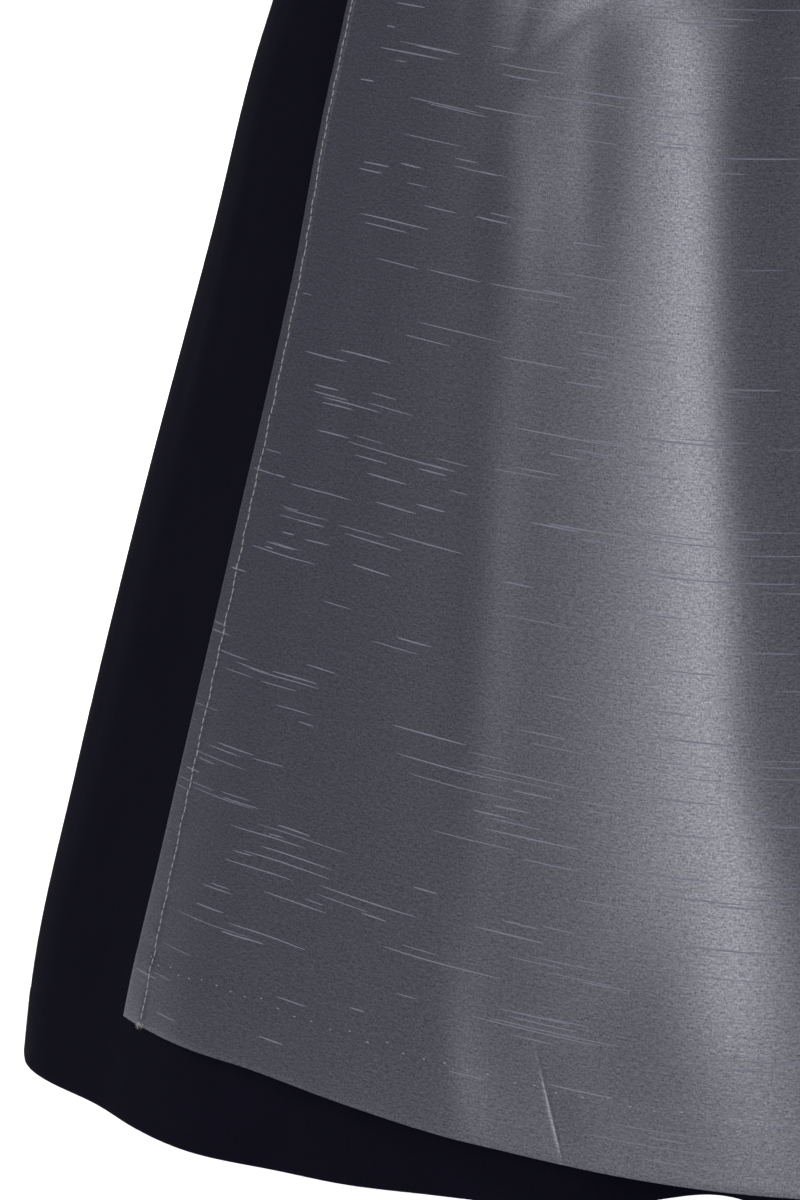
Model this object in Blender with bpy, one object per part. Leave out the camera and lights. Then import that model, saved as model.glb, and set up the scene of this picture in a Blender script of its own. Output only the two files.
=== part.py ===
"""A dirndl as it is worn: a fitted bodice of eight panels closed by a buttoned band, a gathered
skirt in two panels, and a gathered apron on a waistband that ties in a bow at the back.

Metres, +Z up. The front faces -Y and the wearer's left is +X. The origin lies midway between the
shoulders, at the undersides of the straps, where the wearer carries the dress."""

import math

import bmesh
import bpy
import numpy as np
from mathutils import Vector

# Cloth and the air between pieces.
DRESS_WALL = 0.0015
APRON_WALL = 0.0012
BAND_WALL = 0.0024
SEAM_GAP = 0.0003
LAY_GAP = 0.0006

# Heights, from the shoulders down.
WAIST_Z = -0.400
WAIST_DIP = 0.008
HEM_Z = -1.020
ARMHOLE_Z = -0.176

# Inner form of the bodice, a row for each level up to the ridge of the shoulders.
# Columns: height, half width, depth to the front, depth to the back.
BODY = np.array((
    (-0.430, 0.1410, 0.1070, 0.1010),
    (-0.400, 0.1360, 0.1010, 0.0960),
    (-0.350, 0.1380, 0.1020, 0.0960),
    (-0.300, 0.1450, 0.1090, 0.0990),
    (-0.250, 0.1530, 0.1210, 0.1030),
    (-0.210, 0.1590, 0.1310, 0.1070),
    (-0.170, 0.1620, 0.1300, 0.1090),
    (-0.130, 0.1630, 0.1200, 0.1080),
    (-0.090, 0.1630, 0.1030, 0.1010),
    (-0.050, 0.1620, 0.0780, 0.0840),
    (-0.026, 0.1610, 0.0560, 0.0610),
    (-0.012, 0.1600, 0.0380, 0.0415),
    (-0.003, 0.1600, 0.0190, 0.0207),
    (0.0000, 0.1600, 0.0000, 0.0000),
))

# The rounding that the princess seams give the front: a soft bump on each side, faded out where
# the cosine of the angle falls below the last number.
CUP_ACROSS = 0.076
CUP_HEIGHT = -0.208
CUP_RADIUS = 0.060
CUP_RISE = 0.013
CUP_FACING = 0.5

# Edges of the panels beside the centre, from the waist up. Columns: distance from the centre, height.
FRONT_CENTRE = ((0.0, -0.416), (0.0, -0.320), (0.0, -0.230), (0.0, -0.140))
FRONT_NECK = (
    (0.0, -0.140),
    (0.038, -0.137),
    (0.065, -0.118),
    (0.077, -0.085),
    (0.083, -0.040),
    (0.086, 0.0),
)
FRONT_SEAM = (
    (0.050, -0.415),
    (0.056, -0.350),
    (0.069, -0.280),
    (0.086, -0.210),
    (0.104, -0.160),
    (0.117, -0.128),
)
FRONT_ARMHOLE = ((0.117, -0.128), (0.116, -0.095), (0.120, -0.055), (0.127, -0.020), (0.131, 0.0))
BACK_CENTRE = ((0.0, -0.400), (0.0, -0.300), (0.0, -0.190), (0.0, -0.085))
BACK_NECK = (
    (0.0, -0.085),
    (0.034, -0.082),
    (0.060, -0.068),
    (0.076, -0.044),
    (0.083, -0.018),
    (0.086, 0.0),
)
BACK_SEAM = (
    (0.046, -0.401),
    (0.050, -0.340),
    (0.061, -0.270),
    (0.081, -0.200),
    (0.101, -0.150),
    (0.118, -0.118),
)
BACK_ARMHOLE = ((0.118, -0.118), (0.118, -0.085), (0.122, -0.045), (0.127, -0.018), (0.131, 0.0))

# Rows of a panel up to its strap, rows of the strap, and columns across a panel.
SEAM_ROWS = 10
STRAP_ROWS = 8
PANEL_COLUMNS = 6
SIDE_COLUMNS = 4
# How sharply the armhole turns from the seam to the side: 1 is a straight line.
ARMHOLE_CURVE = 1.9
# Samples for reading the length of an edge, and the level of a height.
EDGE_SAMPLES = 300
LEVEL_SAMPLES = 1400

# Form of the skirt, a row for each level. Columns: drop below the waist seam as a share of the
# skirt's length, half width, depth to the front, depth to the back.
SKIRT = np.array((
    (0.000, 0.1380, 0.1030, 0.0980),
    (0.025, 0.1500, 0.1130, 0.1130),
    (0.065, 0.1790, 0.1380, 0.1460),
    (0.130, 0.2150, 0.1670, 0.1810),
    (0.200, 0.2425, 0.1870, 0.2020),
    (0.290, 0.2630, 0.2030, 0.2180),
    (0.425, 0.2840, 0.2230, 0.2350),
    (0.600, 0.3120, 0.2440, 0.2530),
    (0.800, 0.3410, 0.2620, 0.2650),
    (0.940, 0.3590, 0.2690, 0.2690),
    (1.000, 0.3630, 0.2710, 0.2700),
))
# Gathers of the skirt: how many, how deep, the share of that depth at the seam, the drop at which
# they are whole, and the drops between which they fade.
SKIRT_GATHERS = 40
GATHER_RISE = 0.0022
GATHER_PRESSED = 0.4
GATHER_WHOLE = 0.02
GATHER_FADE = 0.03
GATHER_END = 0.26

# Folds of the skirt. Columns: degrees round from the centre front at the hem, how far it stands out
# at the hem, half width in degrees, drop where it begins, degrees that it leans from there down.
SKIRT_FOLDS = np.array((
    (-12.0, -0.038, 5.5, 0.35, 3.0),
    (-20.0, 0.003, 6.0, 0.40, 0.0),
    (-36.0, 0.004, 5.0, 0.35, -2.0),
    (-49.0, 0.004, 6.0, 0.30, -2.0),
    (-67.0, -0.009, 9.0, 0.20, -3.0),
    (-84.0, 0.003, 7.0, 0.25, -2.0),
    (-99.0, -0.010, 6.0, 0.15, 2.0),
    (-113.0, 0.009, 6.0, 0.20, 3.0),
    (-127.0, -0.012, 5.5, 0.12, 2.0),
    (-140.0, 0.011, 5.5, 0.20, 2.0),
    (-155.0, -0.013, 5.5, 0.10, 1.0),
    (-171.0, 0.010, 6.0, 0.18, 1.0),
    (171.5, 0.011, 6.0, 0.16, -1.0),
    (157.0, -0.012, 5.0, 0.10, -1.0),
    (143.0, 0.012, 5.5, 0.22, -2.0),
    (129.0, -0.011, 5.5, 0.12, -2.0),
    (116.0, 0.008, 6.0, 0.20, -3.0),
    (101.0, -0.010, 6.0, 0.16, -2.0),
    (86.0, 0.004, 7.0, 0.25, 2.0),
    (69.0, -0.008, 8.0, 0.20, 3.0),
    (52.0, 0.004, 6.0, 0.30, 2.0),
    (38.0, 0.003, 5.0, 0.35, 2.0),
    (24.0, -0.014, 5.5, 0.40, -2.0),
    (8.0, 0.003, 6.0, 0.40, 0.0),
))
# The drop at which a fold would be whole, a little past the hem so that it still opens there.
FOLD_WHOLE = 1.05

# Rows of the skirt's mesh: the gathered rows carry twice the columns of the others.
SKIRT_GATHERED_ROWS = (0.0, 0.025, 0.065, 0.130, 0.200)
SKIRT_LOWER_ROWS = (0.275, 0.370, 0.470, 0.570, 0.670, 0.770, 0.860, 0.940, 1.0)
SKIRT_COLUMNS = 80

# Apron: the angle of its side edges at the waist and the hem, the share that they draw in half way
# down, and the drop of its top edge.
APRON_EDGE = math.radians(61.5)
APRON_DRAW = 0.058
APRON_TOP = 0.0185
# Its gathers: how many, how deep, and the shares of its length between which they fade.
APRON_GATHERS = 16
APRON_GATHER_RISE = 0.0020
APRON_GATHER_FADE = 0.02
APRON_GATHER_END = 0.30
# How far its inside stands off the skirt's plain form at the top, in the middle and at the sides.
# The first gives way to the others between two shares of its length.
APRON_LIFT_TOP = 0.0074
APRON_LIFT_MIDDLE = 0.0066
APRON_LIFT_EDGE = 0.0034
APRON_TOP_FADE = 0.12
APRON_TOP_END = 0.34
# The angles between which it comes to lie on the skirt's folds, and the shares of its length
# between which it starts to follow them.
APRON_SIDE_START = math.radians(30)
APRON_SIDE_END = math.radians(56)
APRON_FOLLOW_START = 0.30
APRON_FOLLOW_END = 0.45
# How far its middle stands out over the skirt, and the share of its length where that is whole.
APRON_TENT = 0.0150
APRON_TENT_FULL = 0.24
APRON_COLUMNS = 64
APRON_ROWS = (0.0, 0.03, 0.07, 0.13, 0.20, 0.28, 0.38, 0.49, 0.60, 0.71, 0.81, 0.91, 1.0)

# Height of the apron's hem above the skirt's. Columns: degrees from the centre front, height.
APRON_HEM = np.array((
    (0.0, 0.014),
    (15.0, 0.019),
    (30.0, 0.030),
    (45.0, 0.041),
    (61.5, 0.044),
))

# Folds that run down the apron as valleys and swing aside towards the hem. Columns: degrees from
# the centre front under the waistband, at the middle and at the hem, share of the apron's stand-off
# that it takes, half width in degrees. The last number is the middle's share of the length.
APRON_VALLEYS = np.array((
    (-9.0, -2.4, 11.0, 0.95, 6.0),
    (11.0, 14.6, 24.0, 0.80, 5.5),
    (27.0, 30.0, 37.0, 0.65, 5.0),
    (43.0, 45.4, 49.0, 0.50, 4.5),
))
VALLEY_MIDDLE = 0.6

# Waistband and ties: how far the band's top is above the seam, how far the band stands off, how far
# its foot reaches over the apron as a share of the skirt's length, and the share of the band's
# height by which each edge of a tie is narrower.
BAND_ABOVE = 0.025
BAND_LIFT = 0.0040
BAND_LAP = 0.0005
BAND_ROWS = (0.0, 0.5, 1.0)
BAND_STEPS = 30
TIE_INSET = 0.12
TIE_STEPS = 22

# Bow at the centre back. The knot: its width, depth and height, its rounding, and how far it stands
# off the band.
KNOT_SIZE = (0.034, 0.022, 0.034)
KNOT_ROUND = 0.006
KNOT_ROUND_STEPS = 2
KNOT_STAND = 0.0055
# A loop: its reach, how far its two sides spread and how near they are at the knot, its height, the
# share of that height left at the knot, and how far it droops.
LOOP_REACH = 0.088
LOOP_SPREAD = 0.012
LOOP_NECK = 0.006
LOOP_HEIGHT = 0.044
LOOP_PINCH = 0.58
LOOP_DROOP = 0.010
LOOP_STEPS = 20
# A tail, from the knot to its end: degrees from the centre back, width, and drop; the share of its
# length by which it is at its full width, its stand-off, and how far its end is cut on the slant.
TAIL_ANGLES = (5.6, 8.2)
TAIL_WIDTHS = (0.024, 0.042)
TAIL_DROPS = (0.021, 0.64)
TAIL_OPEN = 0.5
TAIL_LIFT = 0.0022
TAIL_SLANT = 0.018
TAIL_STEPS = 14
RIBBON_COLUMNS = 3

# Button band and buttons.
PLACKET_HALF = 0.012
PLACKET_WALL = 0.0012
BUTTON_COUNT = 5
BUTTON_TOP_Z = -0.164
BUTTON_PITCH = 0.047
# Profile of a button from its foot to its crown. Columns: radius, height.
BUTTON_PROFILE = (
    (0.0028, 0.0),
    (0.0028, 0.0012),
    (0.0066, 0.0015),
    (0.0075, 0.0025),
    (0.0066, 0.0037),
    (0.0036, 0.0044),
)
BUTTON_CROWN = 0.0003
BUTTON_SIDES = 16

# Half the step of a slope taken on a form, the angle past which an edge shades sharp, and how near
# two points are before they are one.
STEP = 1e-4
SHARP_ANGLE = math.radians(40)
MERGE_DISTANCE = 1e-6


def linear(code):
    """The linear colour of an sRGB hex code."""
    parts = [int(code[i : i + 2], 16) / 255 for i in (0, 2, 4)]
    return [c / 12.92 if c <= 0.04045 else ((c + 0.055) / 1.055) ** 2.4 for c in parts] + [1.0]


def material(name, code, roughness, metallic=0.0):
    """A plain finish with the piece's colour."""
    made = bpy.data.materials.new(name)
    made.use_nodes = True
    shader = made.node_tree.nodes["Principled BSDF"]
    shader.inputs["Base Color"].default_value = linear(code)
    shader.inputs["Roughness"].default_value = roughness
    shader.inputs["Metallic"].default_value = metallic
    made.diffuse_color = linear(code)
    return made


def smooth(knots, values, at):
    """The smooth curve through the values at the knots, read at the given places."""
    knots, values = np.asarray(knots, float), np.asarray(values, float)
    slopes = np.gradient(values, knots)
    first = np.clip(np.searchsorted(knots, at) - 1, 0, len(knots) - 2)
    width = knots[first + 1] - knots[first]
    t = (at - knots[first]) / width
    rise = values[first + 1] - values[first]
    return (
        values[first]
        + rise * t * t * (3 - 2 * t)
        + slopes[first] * width * t * (1 - t) ** 2
        + slopes[first + 1] * width * t * t * (t - 1)
    )


def ease(start, end, at):
    """0 before the start, 1 after the end, with a soft change between."""
    t = np.clip((at - start) / (end - start), 0.0, 1.0)
    return t * t * (3 - 2 * t)


def round_gap(angle, centre):
    """The signed angle between two directions round the body."""
    return (angle - centre + math.pi) % (2 * math.pi) - math.pi


def place(x, y, z):
    """Points from three arrays that fit each other."""
    return np.stack(np.broadcast_arrays(x, y, z), -1)


def waist_height(angle):
    """The height of the waist seam, which dips towards the front."""
    return WAIST_Z - WAIST_DIP * (1 + np.cos(angle))


def body_columns(level):
    """Height, half width, front and back depth at a level counted in rows of the table."""
    rows = np.arange(len(BODY))
    return [smooth(rows, BODY[:, column], level) for column in range(4)]


def level_at(height):
    """The level of a height."""
    levels = np.linspace(0, len(BODY) - 1, LEVEL_SAMPLES)
    return np.interp(height, body_columns(levels)[0], levels)


def body(angle, level):
    """A point of the bodice's inner form."""
    height, half, front, back = body_columns(level)
    x = half * np.sin(angle)
    beside = [np.exp(-(((x - spot) / CUP_RADIUS) ** 2)) for spot in (CUP_ACROSS, -CUP_ACROSS)]
    cups = np.exp(-(((height - CUP_HEIGHT) / CUP_RADIUS) ** 2)) * (beside[0] + beside[1])
    facing = np.clip(np.cos(angle), 0, 1)
    depth = np.where(np.cos(angle) > 0, front, back)
    rise = CUP_RISE * cups * ease(0.0, CUP_FACING, facing)
    return place(x, -depth * np.cos(angle) - rise, height)


def skirt_folds(angle, fall):
    """How far the skirt's folds stand out from its plain form."""
    out = np.zeros(np.broadcast(angle, fall).shape)
    for hem_degrees, rise, width, start, lean in SKIRT_FOLDS:
        centre = np.radians(hem_degrees - lean * (1 - fall))
        shape = np.exp(-((round_gap(angle, centre) / math.radians(width)) ** 2))
        out = out + rise * ease(start, FOLD_WHOLE, fall) * shape
    return out


def gather_depth(fall):
    """How deep the skirt's gathers are: pressed at the seam, full below it, gone further down."""
    opened = GATHER_PRESSED + (1 - GATHER_PRESSED) * ease(0.0, GATHER_WHOLE, fall)
    return GATHER_RISE * opened * (1 - ease(GATHER_FADE, GATHER_END, fall))


def skirt_form(fall, angle, out):
    """A point at a drop and an angle, standing out from the skirt's plain form."""
    half, front, back = (smooth(SKIRT[:, 0], SKIRT[:, column], fall) for column in (1, 2, 3))
    depth = np.where(np.cos(angle) > 0, front, back)
    across, along = depth * np.sin(angle), -half * np.cos(angle)
    size = np.hypot(across, along)
    waist = waist_height(angle) - SEAM_GAP
    return place(
        half * np.sin(angle) + out * across / size,
        -depth * np.cos(angle) + out * along / size,
        waist + (HEM_Z - waist) * fall,
    )


def skirt(fall, angle):
    """The skirt's inside."""
    gathers = gather_depth(fall) * np.cos(SKIRT_GATHERS * angle)
    return skirt_form(fall, angle, skirt_folds(angle, fall) + gathers)


def apron_fall(share, angle):
    """The drop on the skirt that a share of the apron's length reaches."""
    length = waist_height(angle) - HEM_Z
    end = 1 - smooth(APRON_HEM[:, 0], APRON_HEM[:, 1], np.degrees(np.abs(angle))) / length
    return APRON_TOP + share * (end - APRON_TOP)


def apron_rise(share, angle, fall):
    """How far the apron's inside stands out from the skirt's plain form."""
    beside = ease(APRON_SIDE_START, APRON_SIDE_END, np.abs(angle))
    lift = APRON_LIFT_MIDDLE + (APRON_LIFT_EDGE - APRON_LIFT_MIDDLE) * beside
    lift = lift + (APRON_LIFT_TOP - lift) * (1 - ease(APRON_TOP_FADE, APRON_TOP_END, share))
    centred = np.cos(angle / APRON_EDGE * math.pi / 2) ** 2
    tent = APRON_TENT * ease(0.0, APRON_TENT_FULL, share) * centred
    kept = 1.0
    for *degrees, part, width in APRON_VALLEYS:
        centre = np.radians(smooth((0.0, VALLEY_MIDDLE, 1.0), degrees, share))
        kept = kept * (1 - part * np.exp(-(((angle - centre) / math.radians(width)) ** 2)))
    waves = np.cos(2 * math.pi * APRON_GATHERS * (angle / APRON_EDGE + 1) / 2)
    gathers = APRON_GATHER_RISE * (1 - ease(APRON_GATHER_FADE, APRON_GATHER_END, share)) * waves
    follow_share = beside * ease(APRON_FOLLOW_START, APRON_FOLLOW_END, share)
    return lift + tent * kept + gathers + skirt_folds(angle, fall) * follow_share


def apron(share, angle):
    """The apron's inside."""
    angle = angle * (1 - APRON_DRAW * np.sin(share * math.pi))
    fall = apron_fall(share, angle)
    return skirt_form(fall, angle, apron_rise(share, angle, fall))


def band(share, angle):
    """The inside of the waistband, from its top edge on the bodice to its foot on the gathers."""
    level = level_at(waist_height(angle) + BAND_ABOVE)
    top = body(angle, level) + BAND_LIFT * normals(body, angle, level)
    foot = skirt_form(APRON_TOP - BAND_LAP, angle, BAND_LIFT + LAY_GAP)
    share = np.asarray(share)[..., None]
    return top * (1 - share) + foot * share


def normals(form, first, second):
    """Unit normals of a form, on the side where its first direction turns into its second."""
    along = form(first + STEP, second) - form(first - STEP, second)
    across = form(first, second + STEP) - form(first, second - STEP)
    normal = np.cross(along, across)
    return normal / np.linalg.norm(normal, axis=-1, keepdims=True)


def strip(upper, lower):
    """Faces between two rows of point numbers. The lower row may hold every second point."""
    if len(upper) == len(lower):
        return [(upper[i], upper[i + 1], lower[i + 1], lower[i]) for i in range(len(lower) - 1)]
    faces = []
    for i in range(len(lower) - 1):
        a, b, c = upper[2 * i : 2 * i + 3]
        faces += [(a, b, lower[i]), (b, lower[i + 1], lower[i]), (b, c, lower[i + 1])]
    return faces


def add_solid(name, finish, points, faces):
    """A closed mesh object whose faces point out."""
    mesh = bpy.data.meshes.new(name)
    mesh.from_pydata([tuple(p) for p in points], [], faces)
    shape = bmesh.new()
    shape.from_mesh(mesh)
    bmesh.ops.recalc_face_normals(shape, faces=shape.faces)
    shape.to_mesh(mesh)
    shape.free()
    mesh.materials.append(finish)
    mesh.shade_smooth()
    mesh.set_sharp_from_angle(angle=SHARP_ANGLE)
    solid = bpy.data.objects.new(name, mesh)
    bpy.context.scene.collection.objects.link(solid)
    return solid


def add_wall(name, finish, inner, outer):
    """A wall between two skins, each a list of rows of points."""
    points, numbers = [], []
    for skin in (inner, outer):
        rows = []
        for row in skin:
            rows.append(list(range(len(points), len(points) + len(row))))
            points.extend(row)
        numbers.append(rows)
    faces = []
    for rows in numbers:
        for upper, lower in zip(rows, rows[1:]):
            faces += strip(upper, lower)
    inside, outside = numbers
    borders = [
        (inside[0], outside[0]),
        (inside[-1], outside[-1]),
        ([row[0] for row in inside], [row[0] for row in outside]),
        ([row[-1] for row in inside], [row[-1] for row in outside]),
    ]
    for near, far in borders:
        faces += strip(near, far)
    return add_solid(name, finish, points, faces)


def add_cloth(name, finish, form, first, second, wall, lift=0.0):
    """A wall of cloth on a form, from arrays of its two directions."""
    base = form(first, second)
    normal = normals(form, first, second)
    return add_wall(name, finish, base + lift * normal, base + (lift + wall) * normal)


def angle_of(across, level, facing):
    """The angle round the body of a point at a distance from the centre plane."""
    half = body_columns(level)[1]
    turn = np.arcsin(np.clip(across / half, -1, 1))
    return turn if facing == "front" else math.pi - turn


def run_along(points):
    """Distance from the first point to each point of a line."""
    return np.concatenate([[0], np.cumsum(np.linalg.norm(np.diff(points, axis=0), axis=1))])


def follow(corners, facing, count):
    """Points at equal steps on the body, along the smooth curve through an edge's corners."""
    corners = np.array(corners)
    run = run_along(corners)
    places = np.linspace(0, run[-1], EDGE_SAMPLES)
    across, height = (smooth(run, corners[:, column], places) for column in (0, 1))
    level = level_at(height)
    run = run_along(body(angle_of(across, level, facing), level))
    places = np.linspace(0, run[-1], count + 1)
    return np.stack([np.interp(places, run, across), np.interp(places, run, height)], -1)


def edge(lower, upper, facing):
    """One edge of a panel, from the waist to the shoulder."""
    return np.concatenate([follow(lower, facing, SEAM_ROWS), follow(upper, facing, STRAP_ROWS)[1:]])


def meet_waist(height, angle, up):
    """Heights with the lowest row moved onto the waist seam, fading up the panel."""
    return height + (waist_height(angle) + SEAM_GAP / 2 - height[0]) * (1 - up)


def panel_edges(facing):
    """The two long edges of a panel beside the centre."""
    if facing == "front":
        return edge(FRONT_CENTRE, FRONT_NECK, facing), edge(FRONT_SEAM, FRONT_ARMHOLE, facing)
    return edge(BACK_CENTRE, BACK_NECK, facing), edge(BACK_SEAM, BACK_ARMHOLE, facing)


def across_panel(facing, share):
    """Angles and levels at shares of the way across a panel beside the centre, row by row."""
    near, far = (line[:, None] for line in panel_edges(facing))
    spot = near + (far - near) * share[..., None]
    across, height = spot[..., 0], spot[..., 1]
    up = np.clip(np.arange(len(spot)) / SEAM_ROWS, 0, 1)[:, None]
    height = meet_waist(height, angle_of(across, level_at(height), facing), up)
    level = level_at(height)
    # The last row stops short of the ridge of the shoulder by half a seam.
    level[-1] = len(BODY) - 1 - SEAM_GAP / 2 / (BODY[-2, 2] - BODY[-1, 2])
    return angle_of(across, level, facing), level


def centre_panel(facing):
    """Angles and levels of a panel beside the centre, which carries a strap."""
    near, far = (line[:, :1] for line in panel_edges(facing))
    seam = SEAM_GAP / 2 / (far - near)
    share = seam + (1 - 2 * seam) * np.linspace(0, 1, PANEL_COLUMNS + 1)
    return across_panel(facing, share)


def side_panel(facing):
    """Angles and levels of a panel under the arm, from its long seam to the side seam."""
    lower = {"front": FRONT_SEAM, "back": BACK_SEAM}[facing]
    seam = follow(lower, facing, SEAM_ROWS)
    seam_angle = angle_of(seam[:, 0] + SEAM_GAP / 2, level_at(seam[:, 1]), facing)
    turn = 1 if facing == "front" else -1
    side_angle = math.pi / 2 - turn * SEAM_GAP / 2 / BODY[:, 2].max()
    share = np.linspace(0, 1, SIDE_COLUMNS + 1)[None, :]
    angle = seam_angle[:, None] + (side_angle - seam_angle[:, None]) * share
    up = (seam[:, 1] - seam[0, 1]) / (seam[-1, 1] - seam[0, 1])
    top = ARMHOLE_Z + (seam[-1, 1] - ARMHOLE_Z) * (1 - share) ** ARMHOLE_CURVE
    foot = seam[0, 1]
    height = meet_waist(foot + (top - foot) * up[:, None], angle, up[:, None])
    return angle, level_at(height)


def add_bodice(finish):
    for facing in ("front", "back"):
        for kind, outline in (("", centre_panel(facing)), ("side_", side_panel(facing))):
            angle, level = outline
            for side, turn in (("left", 1), ("right", -1)):
                name = f"bodice_{kind}{facing}_{side}"
                add_cloth(name, finish, body, turn * angle, level, DRESS_WALL)


def add_skirt(finish):
    half = math.pi / 2 - SEAM_GAP / 2 / SKIRT[:, 2].min()
    zones = ((SKIRT_GATHERED_ROWS, SKIRT_COLUMNS), (SKIRT_LOWER_ROWS, SKIRT_COLUMNS // 2))
    for facing, middle in (("front", 0.0), ("back", math.pi)):
        skins = [[], []]
        for rows, columns in zones:
            for fall in rows:
                angle = middle + np.linspace(-half, half, columns + 1)
                base = skirt(fall, angle)
                normal = normals(skirt, fall, angle)
                skins[0].append(base)
                skins[1].append(base + DRESS_WALL * normal)
        # The seam's edge is level, so that the bodice fits on it.
        skins[1][0][:, 2] = skins[0][0][:, 2]
        add_wall(f"skirt_{facing}", finish, *skins)


def add_apron(finish):
    share = np.array(APRON_ROWS)[:, None]
    angle = np.linspace(-APRON_EDGE, APRON_EDGE, APRON_COLUMNS + 1)[None, :]
    add_cloth("apron_panel", finish, apron, share, angle, APRON_WALL)


def knot_angle():
    """Half the angle round the waist that the knot takes."""
    return math.asin((KNOT_SIZE[0] / 2 + SEAM_GAP) / BODY[1, 1])


def add_band(finish):
    share = np.array(BAND_ROWS)[:, None]
    angle = np.linspace(-APRON_EDGE, APRON_EDGE, BAND_STEPS + 1)[None, :]
    add_cloth("apron_waistband", finish, band, share, angle, BAND_WALL)
    start = APRON_EDGE + SEAM_GAP / BODY[1, 2]
    narrow = TIE_INSET + (1 - 2 * TIE_INSET) * share
    for side, turn in (("left", 1), ("right", -1)):
        angle = turn * np.linspace(start, math.pi - knot_angle(), TIE_STEPS + 1)[None, :]
        add_cloth(f"apron_tie_{side}", finish, band, narrow, angle, APRON_WALL)


def knot_centre():
    """The middle of the knot, clear of the gathers below the band at the centre back."""
    return band(np.array(0.5), np.array(math.pi)) + (0, KNOT_STAND + KNOT_SIZE[1] / 2, 0)


def add_knot(finish):
    centre = knot_centre()
    shape = bmesh.new()
    bmesh.ops.create_cube(shape, size=1.0)
    bmesh.ops.scale(shape, vec=KNOT_SIZE, verts=shape.verts)
    bmesh.ops.bevel(
        shape,
        geom=shape.edges,
        offset=KNOT_ROUND,
        segments=KNOT_ROUND_STEPS,
        profile=0.5,
        affect="EDGES",
    )
    points = [np.array(v.co) + centre for v in shape.verts]
    faces = [[v.index for v in face.verts] for face in shape.faces]
    shape.free()
    add_solid("bow_knot", finish, points, faces)


def loop_form(turn):
    """A bow loop: a strip that leaves the knot, turns back and comes home, seen as a long drop."""
    root = knot_centre() + (turn * (KNOT_SIZE[0] / 2 + LAY_GAP), 0, 0)

    def form(across, along):
        reach = np.sin(along * math.pi)
        side = (LOOP_NECK / 2 + LOOP_SPREAD * reach) * np.cos(along * math.pi)
        half = LOOP_HEIGHT / 2 * (LOOP_PINCH + (1 - LOOP_PINCH) * reach)
        drop = LOOP_DROOP * reach**2
        return root + place(turn * LOOP_REACH * reach, turn * side, half * across - drop)

    return form


def tail_form(turn):
    """A bow tail, laid on the back of the skirt."""

    def form(share, across):
        slant = TAIL_SLANT * across * share
        fall = TAIL_DROPS[0] + (TAIL_DROPS[1] - TAIL_DROPS[0]) * share + slant
        aside = TAIL_ANGLES[0] + (TAIL_ANGLES[1] - TAIL_ANGLES[0]) * share
        width = TAIL_WIDTHS[0] + (TAIL_WIDTHS[1] - TAIL_WIDTHS[0]) * ease(0.0, TAIL_OPEN, share)
        half_turn = width / 2 / smooth(SKIRT[:, 0], SKIRT[:, 1], fall)
        angle = math.pi - turn * np.radians(aside) + across * half_turn
        out = skirt_folds(angle, fall) + gather_depth(fall) + DRESS_WALL + TAIL_LIFT
        return skirt_form(fall, angle, out)

    return form


def add_loops_and_tails(finish):
    across = np.linspace(-1, 1, RIBBON_COLUMNS + 1)[:, None]
    along = np.linspace(0, 1, LOOP_STEPS + 1)[None, :]
    share = np.linspace(0, 1, TAIL_STEPS + 1)[:, None]
    for side, turn in (("left", 1), ("right", -1)):
        add_cloth(f"bow_loop_{side}", finish, loop_form(turn), across, along, APRON_WALL)
        add_cloth(f"bow_tail_{side}", finish, tail_form(turn), share, across.T, APRON_WALL)


def add_placket(finish):
    reach = PLACKET_HALF / panel_edges("front")[1][:, :1]
    angle, level = across_panel("front", reach * np.array((0.0, 1.0)))
    angle = np.concatenate([-angle[:, :0:-1], angle], 1)[: SEAM_ROWS + 1]
    level = np.concatenate([level[:, :0:-1], level], 1)[: SEAM_ROWS + 1]
    lift = DRESS_WALL + LAY_GAP
    add_cloth("front_placket", finish, body, angle, level, PLACKET_WALL, lift)


def button_mesh(finish):
    """A domed button on a short foot, turned from its profile."""
    shape = bmesh.new()
    foot, crown = (0.0, BUTTON_PROFILE[0][1]), (0.0, BUTTON_PROFILE[-1][1] + BUTTON_CROWN)
    outline = [foot, *BUTTON_PROFILE, crown]
    points = [shape.verts.new((radius, 0.0, height)) for radius, height in outline]
    edges = [shape.edges.new(pair) for pair in zip(points, points[1:])]
    bmesh.ops.spin(
        shape,
        geom=points + edges,
        cent=(0, 0, 0),
        axis=(0, 0, 1),
        angle=math.tau,
        steps=BUTTON_SIDES,
    )
    bmesh.ops.remove_doubles(shape, verts=shape.verts, dist=MERGE_DISTANCE)
    bmesh.ops.recalc_face_normals(shape, faces=shape.faces)
    mesh = bpy.data.meshes.new("button")
    shape.to_mesh(mesh)
    shape.free()
    mesh.materials.append(finish)
    mesh.shade_smooth()
    mesh.set_sharp_from_angle(angle=SHARP_ANGLE)
    return mesh


def add_buttons(finish):
    mesh = button_mesh(finish)
    for number in range(BUTTON_COUNT):
        spot = np.array(0.0), level_at(BUTTON_TOP_Z - number * BUTTON_PITCH)
        out = Vector(normals(body, *spot))
        button = bpy.data.objects.new(f"button_{number + 1}", mesh)
        button.location = Vector(body(*spot)) + out * (DRESS_WALL + PLACKET_WALL + 2 * LAY_GAP)
        button.rotation_mode = "QUATERNION"
        button.rotation_quaternion = Vector((0, 0, 1)).rotation_difference(out)
        bpy.context.scene.collection.objects.link(button)


def main():
    for thing in list(bpy.data.objects):
        bpy.data.objects.remove(thing)
    dress = material("dress_cloth", "1b1a26", 0.85)
    satin = material("apron_satin", "6b6b74", 0.42)
    metal = material("button_metal", "a7a49c", 0.35, 1.0)
    add_bodice(dress)
    add_placket(dress)
    add_buttons(metal)
    add_skirt(dress)
    add_apron(satin)
    add_band(satin)
    add_knot(satin)
    add_loops_and_tails(satin)


if __name__ == "__main__":
    main()
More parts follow.
